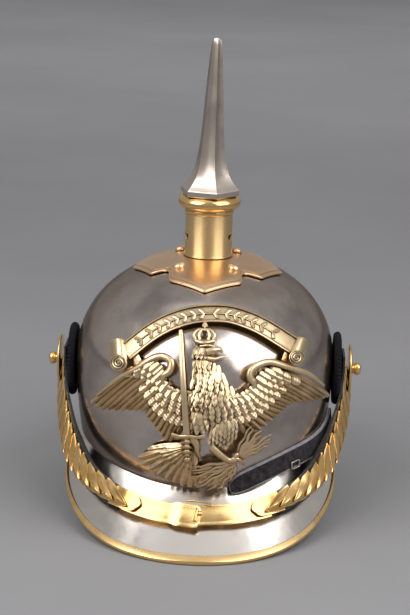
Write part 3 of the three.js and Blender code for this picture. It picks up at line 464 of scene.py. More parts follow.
def skull_share(level, offset):
    level = np.asarray(level, float)
    dome = level > WIDEST_LEVEL
    reach = np.where(dome, DOME_HEIGHT, WALL_CURVE_DEPTH) + offset
    power = np.where(dome, DOME_FULLNESS, 2.0)
    return np.maximum(0, 1 - (np.abs(level - WIDEST_LEVEL) / reach) ** power) ** (1 / power)


def skull_point(turn, level, offset=0.0):
    share = skull_share(level, offset)
    x = (SKULL_HALF_WIDTH + offset) * share * np.sin(turn)
    y = -(SKULL_HALF_LENGTH + offset) * share * np.cos(turn)
    return join(x, y, np.asarray(level, float))


def dome_point(across, ahead, offset):
    rise = (1 - np.hypot(across, ahead) ** DOME_FULLNESS) ** (1 / DOME_FULLNESS)
    x = (SKULL_HALF_WIDTH + offset) * across
    y = -(SKULL_HALF_LENGTH + offset) * ahead
    return join(x, y, WIDEST_LEVEL + (DOME_HEIGHT + offset) * rise)


def skull_rim(turn):
    return SKULL_RIM_LEVEL + SKULL_RIM_EAR_LIFT * np.sin(turn) ** 2


def rim_point(turn):
    """The middle of the free edge of the visor and neck guard, for turns from -pi to pi."""
    turn = np.asarray(turn, float)
    back_span = NECK_REACH + RIM_WIDEST_AHEAD
    ear_angle = np.pi / 2 + math.asin(RIM_WIDEST_AHEAD / back_span)
    aside = np.abs(turn)
    quarter = np.pi / 2
    angle = np.where(aside < quarter, aside * ear_angle / quarter,
                     ear_angle + (aside - quarter) * (np.pi - ear_angle) / quarter)
    cosine = np.cos(angle)
    ahead = RIM_WIDEST_AHEAD + np.where(cosine > 0, VISOR_REACH - RIM_WIDEST_AHEAD, back_span) * cosine
    from_end = np.where(ahead > 0, (VISOR_REACH - ahead) / VISOR_REACH, (NECK_REACH + ahead) / NECK_REACH)
    x = np.sign(turn) * RIM_HALF_WIDTH * np.sin(angle)
    return np.stack([x, -ahead, RIM_EAR_LIFT * (1 - np.cos(np.pi * from_end)) / 2], -1)


def skirt_grid(turns, drops):
    """Rows of points from the flange inside the skull (drop -1) over its rim (0) to the free edge (1)."""
    inside = -SKULL_WALL - SEAT_GAP - RIM_PLAY
    root = skull_point(turns, skull_rim(turns), inside)
    edge = rim_point(np.where(turns > np.pi, turns - 2 * np.pi, turns))
    rows = []
    for drop in drops:
        if drop < 0:
            rows.append(skull_point(turns, skull_rim(turns) - drop * FLANGE_HEIGHT, inside))
            continue
        out = drop ** FLARE_EASE
        row = root + (edge - root) * out
        row[:, 2] = root[:, 2] + (edge[:, 2] - root[:, 2]) * drop
        rows.append(row)
    return np.array(rows)


def grid_normals(grid):
    across = np.gradient(grid, axis=0)
    along = np.gradient(grid, axis=1)
    normal = unit(np.cross(along, across))
    outward = unit(np.concatenate([grid[..., :2], np.zeros_like(grid[..., :1])], -1))
    outward[..., 2] = 0.6
    return normal * np.where((normal * outward).sum(-1, keepdims=True) < 0, -1, 1)


def offset_grid(grid, distance):
    return grid - grid_normals(grid) * np.asarray(distance, float).reshape(-1, 1, 1)


def build_skull():
    turns = full_turn(160)

    def rings(offset, shares):
        """Rings at shares from the pole (0) over the widest level (1) down to the rim (2)."""
        rows = []
        for share in shares:
            if share <= 1:
                rise = (DOME_HEIGHT + offset) * cosd(90 * share)
                level = np.full_like(turns, WIDEST_LEVEL + rise)
            else:
                level = WIDEST_LEVEL + (skull_rim(turns) - WIDEST_LEVEL) * (share - 1)
            rows.append(skull_point(turns, level, offset))
        return rows

    shares = list(np.linspace(0.025, 1, 44)) + list(np.linspace(1.04, 1.992, 24))
    edge = rings(-SKULL_WALL * 0.25, [2.0]) + rings(-SKULL_WALL * 0.75, [2.0])
    skin = rings(0.0, shares) + edge + rings(-SKULL_WALL, shares[::-1][::2])
    verts, faces = ring_mesh(skin, (0, 0, DOME_TOP), (0, 0, DOME_TOP - SKULL_WALL))
    add_piece("skull_shell", verts, faces, STEEL, "skull", sharp=50)


EAR_GAP_TURN = EAR_GAP / 2 / SKULL_HALF_WIDTH
VISOR_TURNS = np.linspace(-np.pi / 2 + EAR_GAP_TURN, np.pi / 2 - EAR_GAP_TURN, 161)
NECK_TURNS = np.linspace(np.pi / 2 + EAR_GAP_TURN, 3 * np.pi / 2 - EAR_GAP_TURN, 161)


LAMES = table(
    "start end tucked",
    (-1.0, 0.36, 0.0),
    (0.36 - LAME_OVERLAP, 0.7, 1.1),
    (0.7 - LAME_OVERLAP, 1.0, 1.1),
)


def build_visor():
    drops = [-1, -0.5] + list(np.linspace(0, 1, 26))
    outer = skirt_grid(VISOR_TURNS, drops)
    verts, faces = wall_mesh(outer, offset_grid(outer, [SHEET_WALL] * len(drops)))
    add_piece("visor_sheet", verts, faces, VISOR_STEEL, "front_visor")


def build_lames():
    for number, lame in enumerate(LAMES, 1):
        drops = np.linspace(lame["start"], lame["end"], 16)
        shown = lame["start"] + LAME_OVERLAP
        sunk = lame["tucked"] * (SHEET_WALL + SEAT_GAP) * (1 - smoothstep(drops, shown, shown + 0.1))
        outer = offset_grid(skirt_grid(NECK_TURNS, drops), sunk)
        verts, faces = wall_mesh(outer, offset_grid(outer, [SHEET_WALL] * len(drops)))
        add_piece(f"neck_sheet_{number}", verts, faces, VISOR_STEEL, f"neck_lame_{number}")


def build_trim(name, node, turns):
    """A channel folded round the sheet's free edge, with rounded bends."""
    pair = skirt_grid(turns, [0.97, 1])
    inner = offset_grid(pair, [SHEET_WALL] * 2)
    edge = (pair[1] + inner[1]) / 2
    back = unit((pair[0] + inner[0]) / 2 - edge)
    up = unit(pair[1] - inner[1])
    slot_half = SHEET_WALL / 2 + SEAT_GAP
    half = slot_half + TRIM_WALL
    leg = TRIM_LEG * (TRIM_EAR_SHARE + (1 - TRIM_EAR_SHARE) * np.abs(np.cos(turns)))
    fullness = 1.05

    def at(along, raised):
        return edge + back * np.reshape(along, (-1, 1)) + up * np.reshape(raised, (-1, 1))

    bend = np.linspace(90, -90, 11)
    outer = [at(leg, half * 0.86), at(leg - 0.25, half), at(leg * 0.5, half * 1.06)]
    outer += [at(-half * fullness * cosd(b), half * sind(b)) for b in bend]
    outer = np.array(outer + [at(leg * 0.5, -half), at(leg, -half)])
    outer[..., 2] = np.maximum(outer[..., 2], edge[:, 2] - half * fullness)
    slot = [at(leg, slot_half)] * 2 + [at(leg * 0.5, slot_half)]
    slot += [at(-SEAT_GAP * cosd(b), slot_half * sind(b)) for b in bend]
    slot += [at(leg * 0.5, -slot_half), at(leg, -slot_half)]
    verts, faces = wall_mesh(outer, np.array(slot))
    trim = add_piece(name, verts, faces, SATIN_BRASS, node)
    trim.data.materials.append(BRIGHT_BRASS)
    first_bright, last_bright = 4, 8
    for polygon in trim.data.polygons:
        rows = [v // len(turns) for v in polygon.vertices]
        polygon.material_index = int(min(rows) >= first_bright and max(rows) <= last_bright)


BASE_TOP = BASE_CLEARANCE + BASE_THICKNESS
ARM_OUTLINE = [(0.46, 0.487), (0.47, 0.73), (0.243, 0.865), (0, 1), (-0.243, 0.865), (-0.47, 0.73)]
CORNER_CUTS = [5.5, 2.4, 4.0, 2.0, 4.0, 2.4]
# How far in from the outline, and how far below the plate's top, each ring of its edge lies.
BASE_EDGE = [(3.4, 0.0), (3.1, 0.1), (2.9, 0.4), (2.4, 0.5), (1.4, 0.62), (0.7, 0.8), (0.25, 1.05),
             (0.0, 1.4)]
STUD_PLACES = [(-0.348, 0.47), (0.348, 0.47), (0.365, -0.209), (-0.365, -0.209)]


def base_point(across, ahead, offset):
    return dome_point(across * BASE_SIDE_REACH / SKULL_HALF_WIDTH,
                      ahead * BASE_FRONT_REACH / SKULL_HALF_LENGTH, offset)


def base_outline():
    """The plate's outline in shares of its reaches, with its corners rounded."""
    reaches = np.array([BASE_SIDE_REACH, BASE_FRONT_REACH])
    corners = []
    for quarter in range(4):
        c, s = math.cos(-quarter * math.pi / 2), math.sin(-quarter * math.pi / 2)
        corners += [(across * c + ahead * s, ahead * c - across * s) for across, ahead in ARM_OUTLINE]
    corners = np.array(corners) * reaches
    cuts = CORNER_CUTS * 4
    outline = []
    for number, corner in enumerate(corners):
        after = (number + 1) % len(corners)
        start = corner + cuts[number] * unit(corners[number - 1] - corner)
        end = corner + cuts[number] * unit(corners[after] - corner)
        for share in np.linspace(0, 1, 9):
            outline.append(start * (1 - share) ** 2 + 2 * corner * share * (1 - share) + end * share ** 2)
        reach = corners[after] + cuts[after] * unit(corner - corners[after])
        outline += [end + (reach - end) * share for share in (0.25, 0.5, 0.75)]
    return np.array(outline) / reaches


def build_base():
    outline = base_outline()
    lengths = np.linalg.norm(outline * [BASE_SIDE_REACH, BASE_FRONT_REACH], axis=1)

    def ring(share, offset):
        return base_point(outline[:, 0] * share, outline[:, 1] * share, offset)

    rings = [ring(share, BASE_TOP) for share in np.linspace(0.05, 0.88, 18)]
    rings += [ring(1 - inset / lengths, BASE_TOP - sunk) for inset, sunk in BASE_EDGE]
    rings += [ring(share, BASE_CLEARANCE) for share in [1, *np.linspace(0.9, 0.1, 6)]]
    verts, faces = ring_mesh(rings, (0, 0, DOME_TOP + BASE_TOP), (0, 0, DOME_TOP + BASE_CLEARANCE))
    add_piece("base_plate", verts, faces, ROSY_BRASS, "cross_base", sharp=25)


def placed(verts, place, normal):
    """Points about the origin, moved to a place with their Z along a direction."""
    turn = Vector((0, 0, 1)).rotation_difference(Vector(normal)).to_matrix()
    return np.asarray(verts) @ np.array(turn).T + place


def build_studs():
    dome = [(STUD_RADIUS * cosd(a), STUD_HEIGHT * (0.2 + 0.8 * sind(a))) for a in range(0, 90, 9)]
    profile = [(0, 0), (STUD_RADIUS, 0)] + dome + [(0, STUD_HEIGHT)]
    foot = BASE_TOP + SEAT_GAP
    for number, (across, ahead) in enumerate(STUD_PLACES, 1):
        place = base_point(across, ahead, foot)
        normal = unit(base_point(across, ahead, foot + 1) - place)
        verts, faces = lathe_mesh(profile, 40)
        add_piece(f"stud_{number}", placed(verts, place, normal), faces, ROSY_BRASS, f"base_stud_{number}")


TUBE_INNER = TUBE_RADIUS - TUBE_WALL
TUBE_FOOT = dome_point(0, TUBE_INNER / SKULL_HALF_LENGTH, BASE_TOP)[2] + SEAT_GAP
COLLAR_LEVEL = TUBE_FOOT + TUBE_HEIGHT + SEAT_GAP
PLINTH_LEVEL = COLLAR_LEVEL + COLLAR_HEIGHT + SEAT_GAP
VENT_OUTLINE = [(0, 0), (0.3, 0.4), (0.5, 0.8), (0.42, 1), (-0.42, 1), (-0.5, 0.8), (-0.3, 0.4)]


def vent_cutter(side):
    """A prism through the tube's wall with the outline of a vent."""
    arch = np.array(VENT_OUTLINE) * [VENT_WIDTH, VENT_HEIGHT]
    count = len(arch)
    level = TUBE_FOOT + TUBE_HEIGHT * VENT_LEVEL_SHARE
    prism = [join(arch[:, 0], -TUBE_RADIUS * reach, arch[:, 1] + level) for reach in (0.7, 1.5)]
    faces = [tuple(range(count)), tuple(range(2 * count - 1, count - 1, -1))]
    faces += [(i, (i + 1) % count, count + (i + 1) % count, count + i) for i in range(count)]
    turn = np.array(Matrix.Rotation(side * rad(VENT_TURN), 3, "Z"))
    return np.concatenate(prism) @ turn.T, faces


def build_tube():
    lip = TUBE_RADIUS + TUBE_FOOT_FLARE * 0.6
    profile = [(TUBE_INNER, 0), (lip, 0), (lip, 0.5), (lip - 0.25, 0.9), (TUBE_RADIUS + 0.25, 1.1),
               (TUBE_RADIUS, 1.5), (TUBE_RADIUS, TUBE_HEIGHT), (TUBE_INNER, TUBE_HEIGHT), (TUBE_INNER, 0)]
    verts, faces = lathe_mesh(profile, 120)
    tube = add_piece("tube_wall", verts + [0, 0, TUBE_FOOT], faces, TURNED_BRASS, "neck_tube")
    cutter = add_object("vents", new_mesh("vents", *merged([vent_cutter(-1), vent_cutter(1)]), SHARP_EDGE))
    cut = tube.modifiers.new("vents", "BOOLEAN")
    cut.operation = "DIFFERENCE"
    cut.object = cutter
    bpy.context.view_layer.update()
    mesh = bpy.data.meshes.new_from_object(tube.evaluated_get(bpy.context.evaluated_depsgraph_get()))
    tube.modifiers.clear()
    tube.data = mesh
    mesh.set_sharp_from_angle(angle=rad(SHARP_EDGE))
    bpy.data.objects.remove(cutter)


def build_collar():
    ring, swell = TUBE_RADIUS + 0.8, COLLAR_RADIUS - BEAD_RADIUS
    profile = [(0, 0), (ring * 0.98, 0), (ring, 0.5), (ring, 2.3), (ring * 0.985, 2.8), (ring * 0.99, 3.3)]
    profile += [(BEAD_RADIUS + swell * cosd(a), COLLAR_HEIGHT * (0.62 + 0.365 * sind(a)))
                for a in np.linspace(-78, 88, 24)]
    profile += [(BEAD_RADIUS, COLLAR_HEIGHT), (0, COLLAR_HEIGHT)]
    verts, faces = lathe_mesh(profile)
    add_piece("collar_ring", verts + [0, 0, COLLAR_LEVEL], faces, BRIGHT_BRASS, "spike_collar")


# Share of the shaft's height, share of the plinth's radius, and flatness of the sides.
SPIKE_SECTIONS = [
    (0.004, 0.965, 0.865), (0.03, 0.84, 0.86), (0.07, 0.69, 0.845), (0.11, 0.6, 0.83), (0.165, 0.52, 0.81),
    (0.24, 0.455, 0.79), (0.34, 0.395, 0.78), (0.5, 0.34, 0.775), (0.66, 0.29, 0.775), (0.81, 0.24, 0.78),
    (0.93, 0.185, 0.8), (0.97, 0.15, 0.84), (0.99, 0.1, 0.9), (0.998, 0.045, 0.96),
]


def build_spike():
    turns = full_turn(96)
    from_ridge = np.abs((turns + np.pi / 6) % (np.pi / 3) - np.pi / 6)
    flat = (1 - cosd(30) / np.cos(rad(30) - from_ridge)) / (1 - cosd(30))
    heading = turns + rad(SPIKE_TURN)
    lean = math.tan(rad(SPIKE_LEAN))

    def ring(share, hollow, level):
        reach = PLINTH_RADIUS * share * (1 - (1 - hollow) * flat)
        return join(level * lean + reach * np.sin(heading), -reach * np.cos(heading), level + PLINTH_LEVEL)

    rings = [ring(share, PLINTH_HOLLOW, level) for share, level in (
        (0.97, 0), (0.99, 0.4), (1, 0.9), (1, PLINTH_HEIGHT - 0.5), (0.985, PLINTH_HEIGHT))]
    shaft = SPIKE_HEIGHT - PLINTH_HEIGHT
    rings += [ring(radius, hollow, PLINTH_HEIGHT + shaft * rise)
              for rise, radius, hollow in catmull(SPIKE_SECTIONS, 90)]
    tip = (SPIKE_HEIGHT * lean, 0, SPIKE_HEIGHT + PLINTH_LEVEL)
    verts, faces = ring_mesh(rings, (0, 0, PLINTH_LEVEL), tip)
    add_piece("spike_shaft", verts, faces, NICKEL, "spike", sharp=28)


COCKADE_BACK = float(skull_point(np.pi / 2, BOSS_LEVEL)[0]) + SEAT_GAP
LEATHER_BACK = COCKADE_BACK + COCKADE_DEPTH + 2 * SEAT_GAP
SCALE_BACK = LEATHER_BACK + LEATHER_WALL + SEAT_GAP
SCALE_RISE = SCALE_WALL + SEAT_GAP
ROSETTE_BACK = SCALE_BACK + SCALE_RISE * SCALE_LENGTH_SHARE + SCALE_WALL + SEAT_GAP
KNOB_BACK = ROSETTE_BACK + ROSETTE_DEPTH + SEAT_GAP
# Share of the radius, share of the depth, and depth of the pleats.
COCKADE_RINGS = [(0.3, 1.0, 0.1), (0.6, 0.99, 0.5), (0.85, 0.92, 0.8), (0.93, 0.86, 0.9),
                 (0.975, 0.72, 0.9), (1.0, 0.5, 0.9), (0.985, 0.25, 0.7), (0.94, 0.0, 0.0)]
ROSETTE_PROFILE = [(0, 0), (0.97, 0), (0.995, 0.12), (1, 0.3), (0.985, 0.48), (0.95, 0.58), (0.9, 0.56),
                   (0.86, 0.5), (0.82, 0.52), (0.66, 0.68), (0.5, 0.8), (0.36, 0.9), (0.3, 1), (0, 1)]


def boss_points(verts, side, back):
    verts = np.asarray(verts)
    return join(side * (verts[:, 2] + back), verts[:, 1], verts[:, 0] + BOSS_LEVEL)


def build_bosses(side, label):
    pleats = 54
    turns = full_turn(pleats * 6)
    valley = 1 - np.abs(np.sin(turns * pleats / 2)) ** 0.7

    def ring(share, depth, relief):
        reach = COCKADE_RADIUS * share - relief * 0.5 * valley
        return join(reach * np.cos(turns), reach * np.sin(turns), depth * COCKADE_DEPTH - relief * valley)

    def boss_piece(name, mesh, back, material, node):
        verts, faces = mesh
        add_piece(f"{name}_{label}", boss_points(verts, side, back), faces, material, f"{node}_{label}")

    silk = ring_mesh([ring(*row) for row in COCKADE_RINGS], (0, 0, COCKADE_DEPTH), (0, 0, 0))
    disc = lathe_mesh([(ROSETTE_RADIUS * r, ROSETTE_DEPTH * d) for r, d in ROSETTE_PROFILE], 72)
    profile = [(0, 0), (0.72, 0), (0.7, 0.12)]
    profile += [(0.55 + 0.45 * sind(a), 0.5 - 0.42 * cosd(a)) for a in range(20, 175, 12)]
    profile += [(0.3, 0.99), (0, 1)]
    screw = lathe_mesh([(KNOB_RADIUS * r, KNOB_LENGTH * d) for r, d in profile], 48)
    boss_piece("cockade_silk", silk, COCKADE_BACK, SILK, "cockade")
    boss_piece("rosette_disc", disc, ROSETTE_BACK, BRIGHT_BRASS, "rosette")
    boss_piece("knob_screw", screw, KNOB_BACK, BRIGHT_BRASS, "knob")


# Shares of the way out to the leather, ahead to the visor's face and up to the boss.
CHAIN_ROUTE = [(1, 0, 1.14), (1, 0, 1.02), (1, 0.036, 0.88), (0.985, 0.152, 0.7), (0.915, 0.393, 0.5),
               (0.79, 0.634, 0.38), (0.58, 0.821, 0.305), (0.29, 0.955, 0.26), (0, 1, 0.248)]
CHAIN_FRONT_REACH = CHAIN_CLEARANCE - float(skirt_grid(np.array([0.0]), [CHAIN_EDGE_DROP])[0, 0, 1])
SCALES_END = SCALE_START + SCALE_COUNT * SCALE_PITCH


def centripetal(points, samples):
    """Centripetal Catmull-Rom line, as three.js draws it, sampled densely."""
    p = np.asarray(points, float)
    p = np.vstack([2 * p[0] - p[1], p, 2 * p[-1] - p[-2]])
    line = []
    per = samples // (len(p) - 3)
    for i in range(1, len(p) - 2):
        p0, p1, p2, p3 = p[i - 1], p[i], p[i + 1], p[i + 2]
        d0, d1, d2 = (max(np.linalg.norm(b - a) ** 0.5, 1e-4) for a, b in ((p0, p1), (p1, p2), (p2, p3)))
        t1 = ((p1 - p0) / d0 - (p2 - p0) / (d0 + d1) + (p2 - p1) / d1) * d1
        t2 = ((p2 - p1) / d1 - (p3 - p1) / (d1 + d2) + (p3 - p2) / d2) * d1
        t = np.linspace(0, 1, per, endpoint=False)[:, None]
        square, cube = -3 * p1 + 3 * p2 - 2 * t1 - t2, 2 * p1 - 2 * p2 + t1 + t2
        line.append(p1 + t1 * t + square * t ** 2 + cube * t ** 3)
    return np.vstack(line + [p[-2:-1]])


CHAIN_REACHES = [LEATHER_BACK + LEATHER_WALL, -CHAIN_FRONT_REACH, BOSS_LEVEL]
CHAIN_LINE = centripetal(np.multiply(CHAIN_ROUTE, CHAIN_REACHES), 1600)
CHAIN_AT = np.concatenate([[0], np.cumsum(np.linalg.norm(np.diff(CHAIN_LINE, axis=0), axis=1))])
CHAIN_LENGTH = CHAIN_AT[-1]
CHAIN_WAY = unit(np.gradient(CHAIN_LINE, axis=0))


def chain_frames(distance):
    """Place, forward, out and across of the chain at distances along it."""
    d = np.clip(distance, 0, CHAIN_LENGTH)
    place = np.stack([np.interp(d, CHAIN_AT, CHAIN_LINE[:, k]) for k in range(3)], -1)
    forward = unit(np.stack([np.interp(d, CHAIN_AT, CHAIN_WAY[:, k]) for k in range(3)], -1))
    level = unit(np.stack([place[..., 0] / SKULL_HALF_WIDTH, place[..., 1] / SKULL_HALF_LENGTH,
                           0 * place[..., 0]], -1))
    lean = rad(FRONT_LEAN) * smoothstep(d / CHAIN_LENGTH, 0.3, 0.8)
    out = level * np.cos(lean)[..., None]
    out[..., 2] = np.sin(lean)
    out = unit(out - forward * (out * forward).sum(-1, keepdims=True))
    return place, forward, out, np.cross(forward, out)


def chain_width(distance):
    share = np.minimum(1, 1.15 * distance / CHAIN_LENGTH)
    return SCALE_WIDTH_AT_BOSS + (SCALE_WIDTH_AT_FRONT - SCALE_WIDTH_AT_BOSS) * share


def camber_at(distance, share):
    return SCALE_CAMBER * smoothstep(distance / CHAIN_LENGTH, 0.12, 0.35) * share * share


def chain_plate(start, length, raised, half_share, relief, rows, tip_depth=0.0, skew=0.0, camber=1.0):
    """A plate laid on the chain.

    raised and half_share are functions of the share along it, and relief of that and the share across.
    """
    along, across = np.meshgrid(np.linspace(0, 1, rows), np.linspace(-1, 1, 17), indexing="ij")
    reach = start + length * along - tip_depth * along * across * across
    place, forward, out, side = chain_frames(reach)
    beyond = np.maximum(0, reach - CHAIN_LENGTH)
    width, share = chain_width(reach), half_share(along)
    shift = -skew * width * (along - 0.4)
    lift = raised(along) - camber * camber_at(reach, across * share + shift / chain_width(start) * 2)
    flat = place + forward * beyond[..., None] + side * (width / 2 * share * across + shift)[..., None]

    def grid(height):
        return flat + out * (lift + height)[..., None]

    return wall_mesh(grid(SCALE_WALL + relief(along, across)), grid(0 * along))


def scale_outline(along):
    """Half width of a scale: full over its middle, drawn in at the root and to a blunt point at the tip."""
    root = 0.84 + 0.16 * smoothstep(along, 0.0, 0.3)
    tip = np.clip(1 - np.clip((along - 0.3) / 0.71, 0, 1) ** 1.7, 0, 1) ** 0.9
    return 0.66 * np.minimum(root, tip)


def scale_ridge(along, across):
    ridge = 2.3 * (1 - np.abs(across) ** 1.2) * np.sin(np.pi * (0.12 + 0.8 * along))
    return ridge + 0.25 * smoothstep(np.abs(across), 0.82, 0.95)


def raised_edge(along, across):
    aside = np.abs(across)
    return 0.35 * smoothstep(aside, 0.8, 0.92) * (1 - 0.5 * smoothstep(aside, 0.95, 1))


def chain_piece(name, mesh, side, *nodes):
    """A brass piece of one chain, from its mesh on the +X side."""
    verts, faces = mesh
    add_piece(name, np.asarray(verts) * [side, 1, 1], faces, BRIGHT_BRASS, *nodes)


def build_scales(side, label):
    def rise(along):
        return SEAT_GAP + SCALE_RISE * SCALE_LENGTH_SHARE * along + 2.4 * smoothstep(along, 0.3, 1)

    length = SCALE_PITCH * SCALE_LENGTH_SHARE * 1.55
    starts = SCALE_START + SCALE_PITCH * np.arange(SCALE_COUNT)
    parts = [chain_plate(start, length, rise, scale_outline, scale_ridge, 21, skew=0.4) for start in starts]
    nodes = [f"chinscale_{label}_{number + 1:02d}" for number in range(SCALE_COUNT)]
    chain_piece(f"scales_{label}", merged(parts), side, *nodes)


def build_front_plates(side, label):
    """The plate after the last scale and the long one that ends over the visor's middle."""
    def front_rise(along):
        ramp_length = np.minimum(FRONT_PLATE_LENGTH * along, SCALE_PITCH * SCALE_LENGTH_SHARE)
        return SEAT_GAP + 0.7 * smoothstep(along, 0, 0.5) + SCALE_RISE * ramp_length / SCALE_PITCH

    def front_half(along):
        rounded = np.sqrt(np.clip(1 - ((along - 0.72) / 0.3) ** 2, 0.03, 1))
        return 0.78 * np.where(along < 0.72, 1, rounded)

    mesh = chain_plate(SCALES_END, FRONT_PLATE_LENGTH, front_rise, front_half, raised_edge, 25,
                       tip_depth=1.0, camber=0.35)
    chain_piece(f"front_plate_{label}", mesh, side, f"chin_plate_{label}")

    over = side < 0

    def end_rise(along):
        return SEAT_GAP + over * SCALE_RISE * smoothstep(along, 0.6, 0.75)

    def end_half(along):
        rounded = np.sqrt(np.clip(1 - ((along - 0.93) / 0.08) ** 2, 0.3, 1))
        widened = 0.9 + 0.14 * smoothstep(along, 0.62, 0.7)
        return np.where(along < 0.93, widened, 1.04 * rounded) if over else 0.9 + 0 * along

    start = SCALES_END + SCALE_PITCH
    length = CHAIN_LENGTH - start + (END_PLATE_REACH if over else -SEAT_GAP)
    mesh = chain_plate(start, length, end_rise, end_half, raised_edge, 41, skew=0.13 * over, camber=0.35)
    chain_piece(f"end_plate_{label}", mesh, side, f"chin_end_{label}")


def build_leather(side, label):
    distance, across = np.meshgrid(np.linspace(0, SCALES_END, 90), np.linspace(-1, 1, 9), indexing="ij")
    place, forward, out, side_way = chain_frames(distance)
    half = chain_width(distance) / 2 * LEATHER_SHOWN_SHARE
    inward = 1 - smoothstep(distance, 0.6 * SCALES_END, 0.9 * SCALES_END)
    across = across + LEATHER_INWARD * inward
    camber = camber_at(distance, LEATHER_SHOWN_SHARE * across)
    flat = place + side_way * (half * across)[..., None]
    sunk = out * camber[..., None]
    verts, faces = wall_mesh(flat - sunk, flat - sunk - out * LEATHER_WALL)
    add_piece(f"chain_leather_{label}", verts * [side, 1, 1], faces, LEATHER, f"chin_leather_{label}")


def bar(points, radii, count, sides, squash, upright):
    """A rounded bar along a line of points, its section flattened by squash towards the upright."""
    line = catmull(points, count)
    radius = np.interp(np.linspace(0, 1, count), np.linspace(0, 1, len(radii)), radii)
    way = unit(np.gradient(line, axis=0))
    aside = unit(np.cross(way, upright))
    up = np.cross(aside, way)
    turns = full_turn(sides)[:, None]
    rings = [line[i] + radius[i] * (aside[i] * np.cos(turns) + squash * up[i] * np.sin(turns))
             for i in range(count)]
    return ring_mesh(rings, line[0], line[-1])


def rod(points, radius):
    """A round wire along a line of points in space."""
    return bar(points, [radius, radius], 12, 10, 1.0, [0.1, 0.2, 0.97])


def build_fastening():
    """The stud, its slotted keeper and the pin that hold the two end plates together."""
    place, forward, out, across = (v[0] for v in chain_frames(np.array([CHAIN_LENGTH - 0.01])))
    stand = SEAT_GAP + SCALE_RISE + SCALE_WALL

    def at(along, over, raised):
        return place + forward * along + across * over + out * (stand + raised)

    verts, faces = lathe_mesh([(0, 0), (1.9, 0), (1.9, 0.4), (1.5, 1.2), (0.8, 1.7), (0, 1.8)], 24)
    parts = [(placed(verts, at(3.4, 1.2, 0.05), out), faces)]
    for along in (-0.6, 1.4):
        parts.append(rod([at(along, -4.6, 0.5), at(along, 0, 0.9), at(along, 4.6, 0.5)], 0.5))
    for over in (-4.4, 4.4):
        parts.append(rod([at(-0.6, over, 0.6), at(1.4, over, 0.6)], 0.5))
    parts.append(rod([at(-8, 9.6, -1.2), at(1, 9.9, -0.8), at(10, 9.6, -1.2)], 0.7))
    chain_piece("chain_fastening", merged(parts), -1)


# Turn round the skull in degrees, share of the widest level, and share of the strap's width.
STRAP_ROUTE = [(82, 0.6, 1), (70, 0.545, 1), (58, 0.525, 1), (45, 0.51, 1), (36, 0.485, 1), (28, 0.45, 1),
               (21, 0.41, 1), (17, 0.385, 0.86), (15, 0.372, 0.55), (14.2, 0.366, 0.25)]


def visor_standoff(turn, level):
    """How far the visor's face stands out beyond the skull's surface below the skull's rim."""
    root = skull_point(turn, skull_rim(turn), -SKULL_WALL - SEAT_GAP - RIM_PLAY)
    edge = rim_point(turn)
    drop = np.clip((root[..., 2] - level) / (root[..., 2] - edge[..., 2]), 0, 1)
    face = root + (edge - root) * (drop ** FLARE_EASE)[..., None]
    skull = skull_point(turn, level, 0)
    beyond = np.hypot(face[..., 0], face[..., 1]) - np.hypot(skull[..., 0], skull[..., 1])
    return np.where(drop > 0, beyond, 0)


def strap_grid(stops, across, depth):
    turn, level, width = stops[:, 0], stops[:, 1], stops[:, 2]
    turn, level, width = turn[:, None], level[:, None], width[:, None]
    height = WIDEST_LEVEL * level + STRAP_WIDTH / 2 * width * across
    stand = SEAT_GAP + np.maximum(STRAP_TILT * (1 - across), visor_standoff(rad(turn), height))
    return skull_point(rad(turn), height, stand + depth)


def build_strap():
    stops = catmull(STRAP_ROUTE, 110)
    columns = 13
    across = np.linspace(-1, 1, columns)[None, :]
    face = np.where(np.abs(across) > 0.9, STRAP_WALL * 0.8, STRAP_WALL)
    verts, faces = wall_mesh(strap_grid(stops, across, face), strap_grid(stops, across, 0.0 * across))
    strap = add_piece("suede_strap", verts, faces, SUEDE, "loose_strap")
    strap.data.materials.append(SUEDE_EDGE)
    for polygon in strap.data.polygons:
        on_face = np.array(polygon.vertices) % (len(stops) * columns)
        column, row = on_face % columns, on_face // columns
        edge = column.max() <= 1 or column.min() >= columns - 2 or row.min() >= len(stops) - 3
        polygon.material_index = int(edge)


def build_buckle():
    stops = np.array(STRAP_ROUTE)

    def on_strap(stop, depth):
        return strap_grid(stops[stop:stop + 1], np.array([[BUCKLE_ACROSS]]), STRAP_WALL + depth)[0, 0]

    place = on_strap(3, 0.6)
    out = unit(on_strap(3, 2) - place)
    along = on_strap(4, 1) - on_strap(2, 1)
    along = unit(along - out * (along @ out))
    across = np.cross(out, along)
    half_length, half_width = (BUCKLE_LENGTH - BUCKLE_WIRE) / 2, (BUCKLE_WIDTH - BUCKLE_WIRE) / 2
    corner = 1.2
    loop = np.array([(cx * (half_length - corner) + corner * cosd(angle),
                      cy * (half_width - corner) + corner * sind(angle))
                     for cx, cy, start in ((1, 1, 0), (-1, 1, 90), (-1, -1, 180), (1, -1, 270))
                     for angle in np.linspace(start, start + 90, 8)])
    radial = unit(loop)
    wire = BUCKLE_WIRE / 2
    rings = []
    for turn in full_turn(12):
        flat = loop + radial * wire * math.cos(turn)
        rings.append(place + along * flat[:, :1] + across * flat[:, 1:] + out * wire * (1 + math.sin(turn)))
    rings = np.array(rings + rings[:1])
    faces = grid_faces(len(rings), len(loop), closed=True)
    add_piece("buckle_frame", rings.reshape(-1, 3), faces, NICKEL, "strap_buckle")


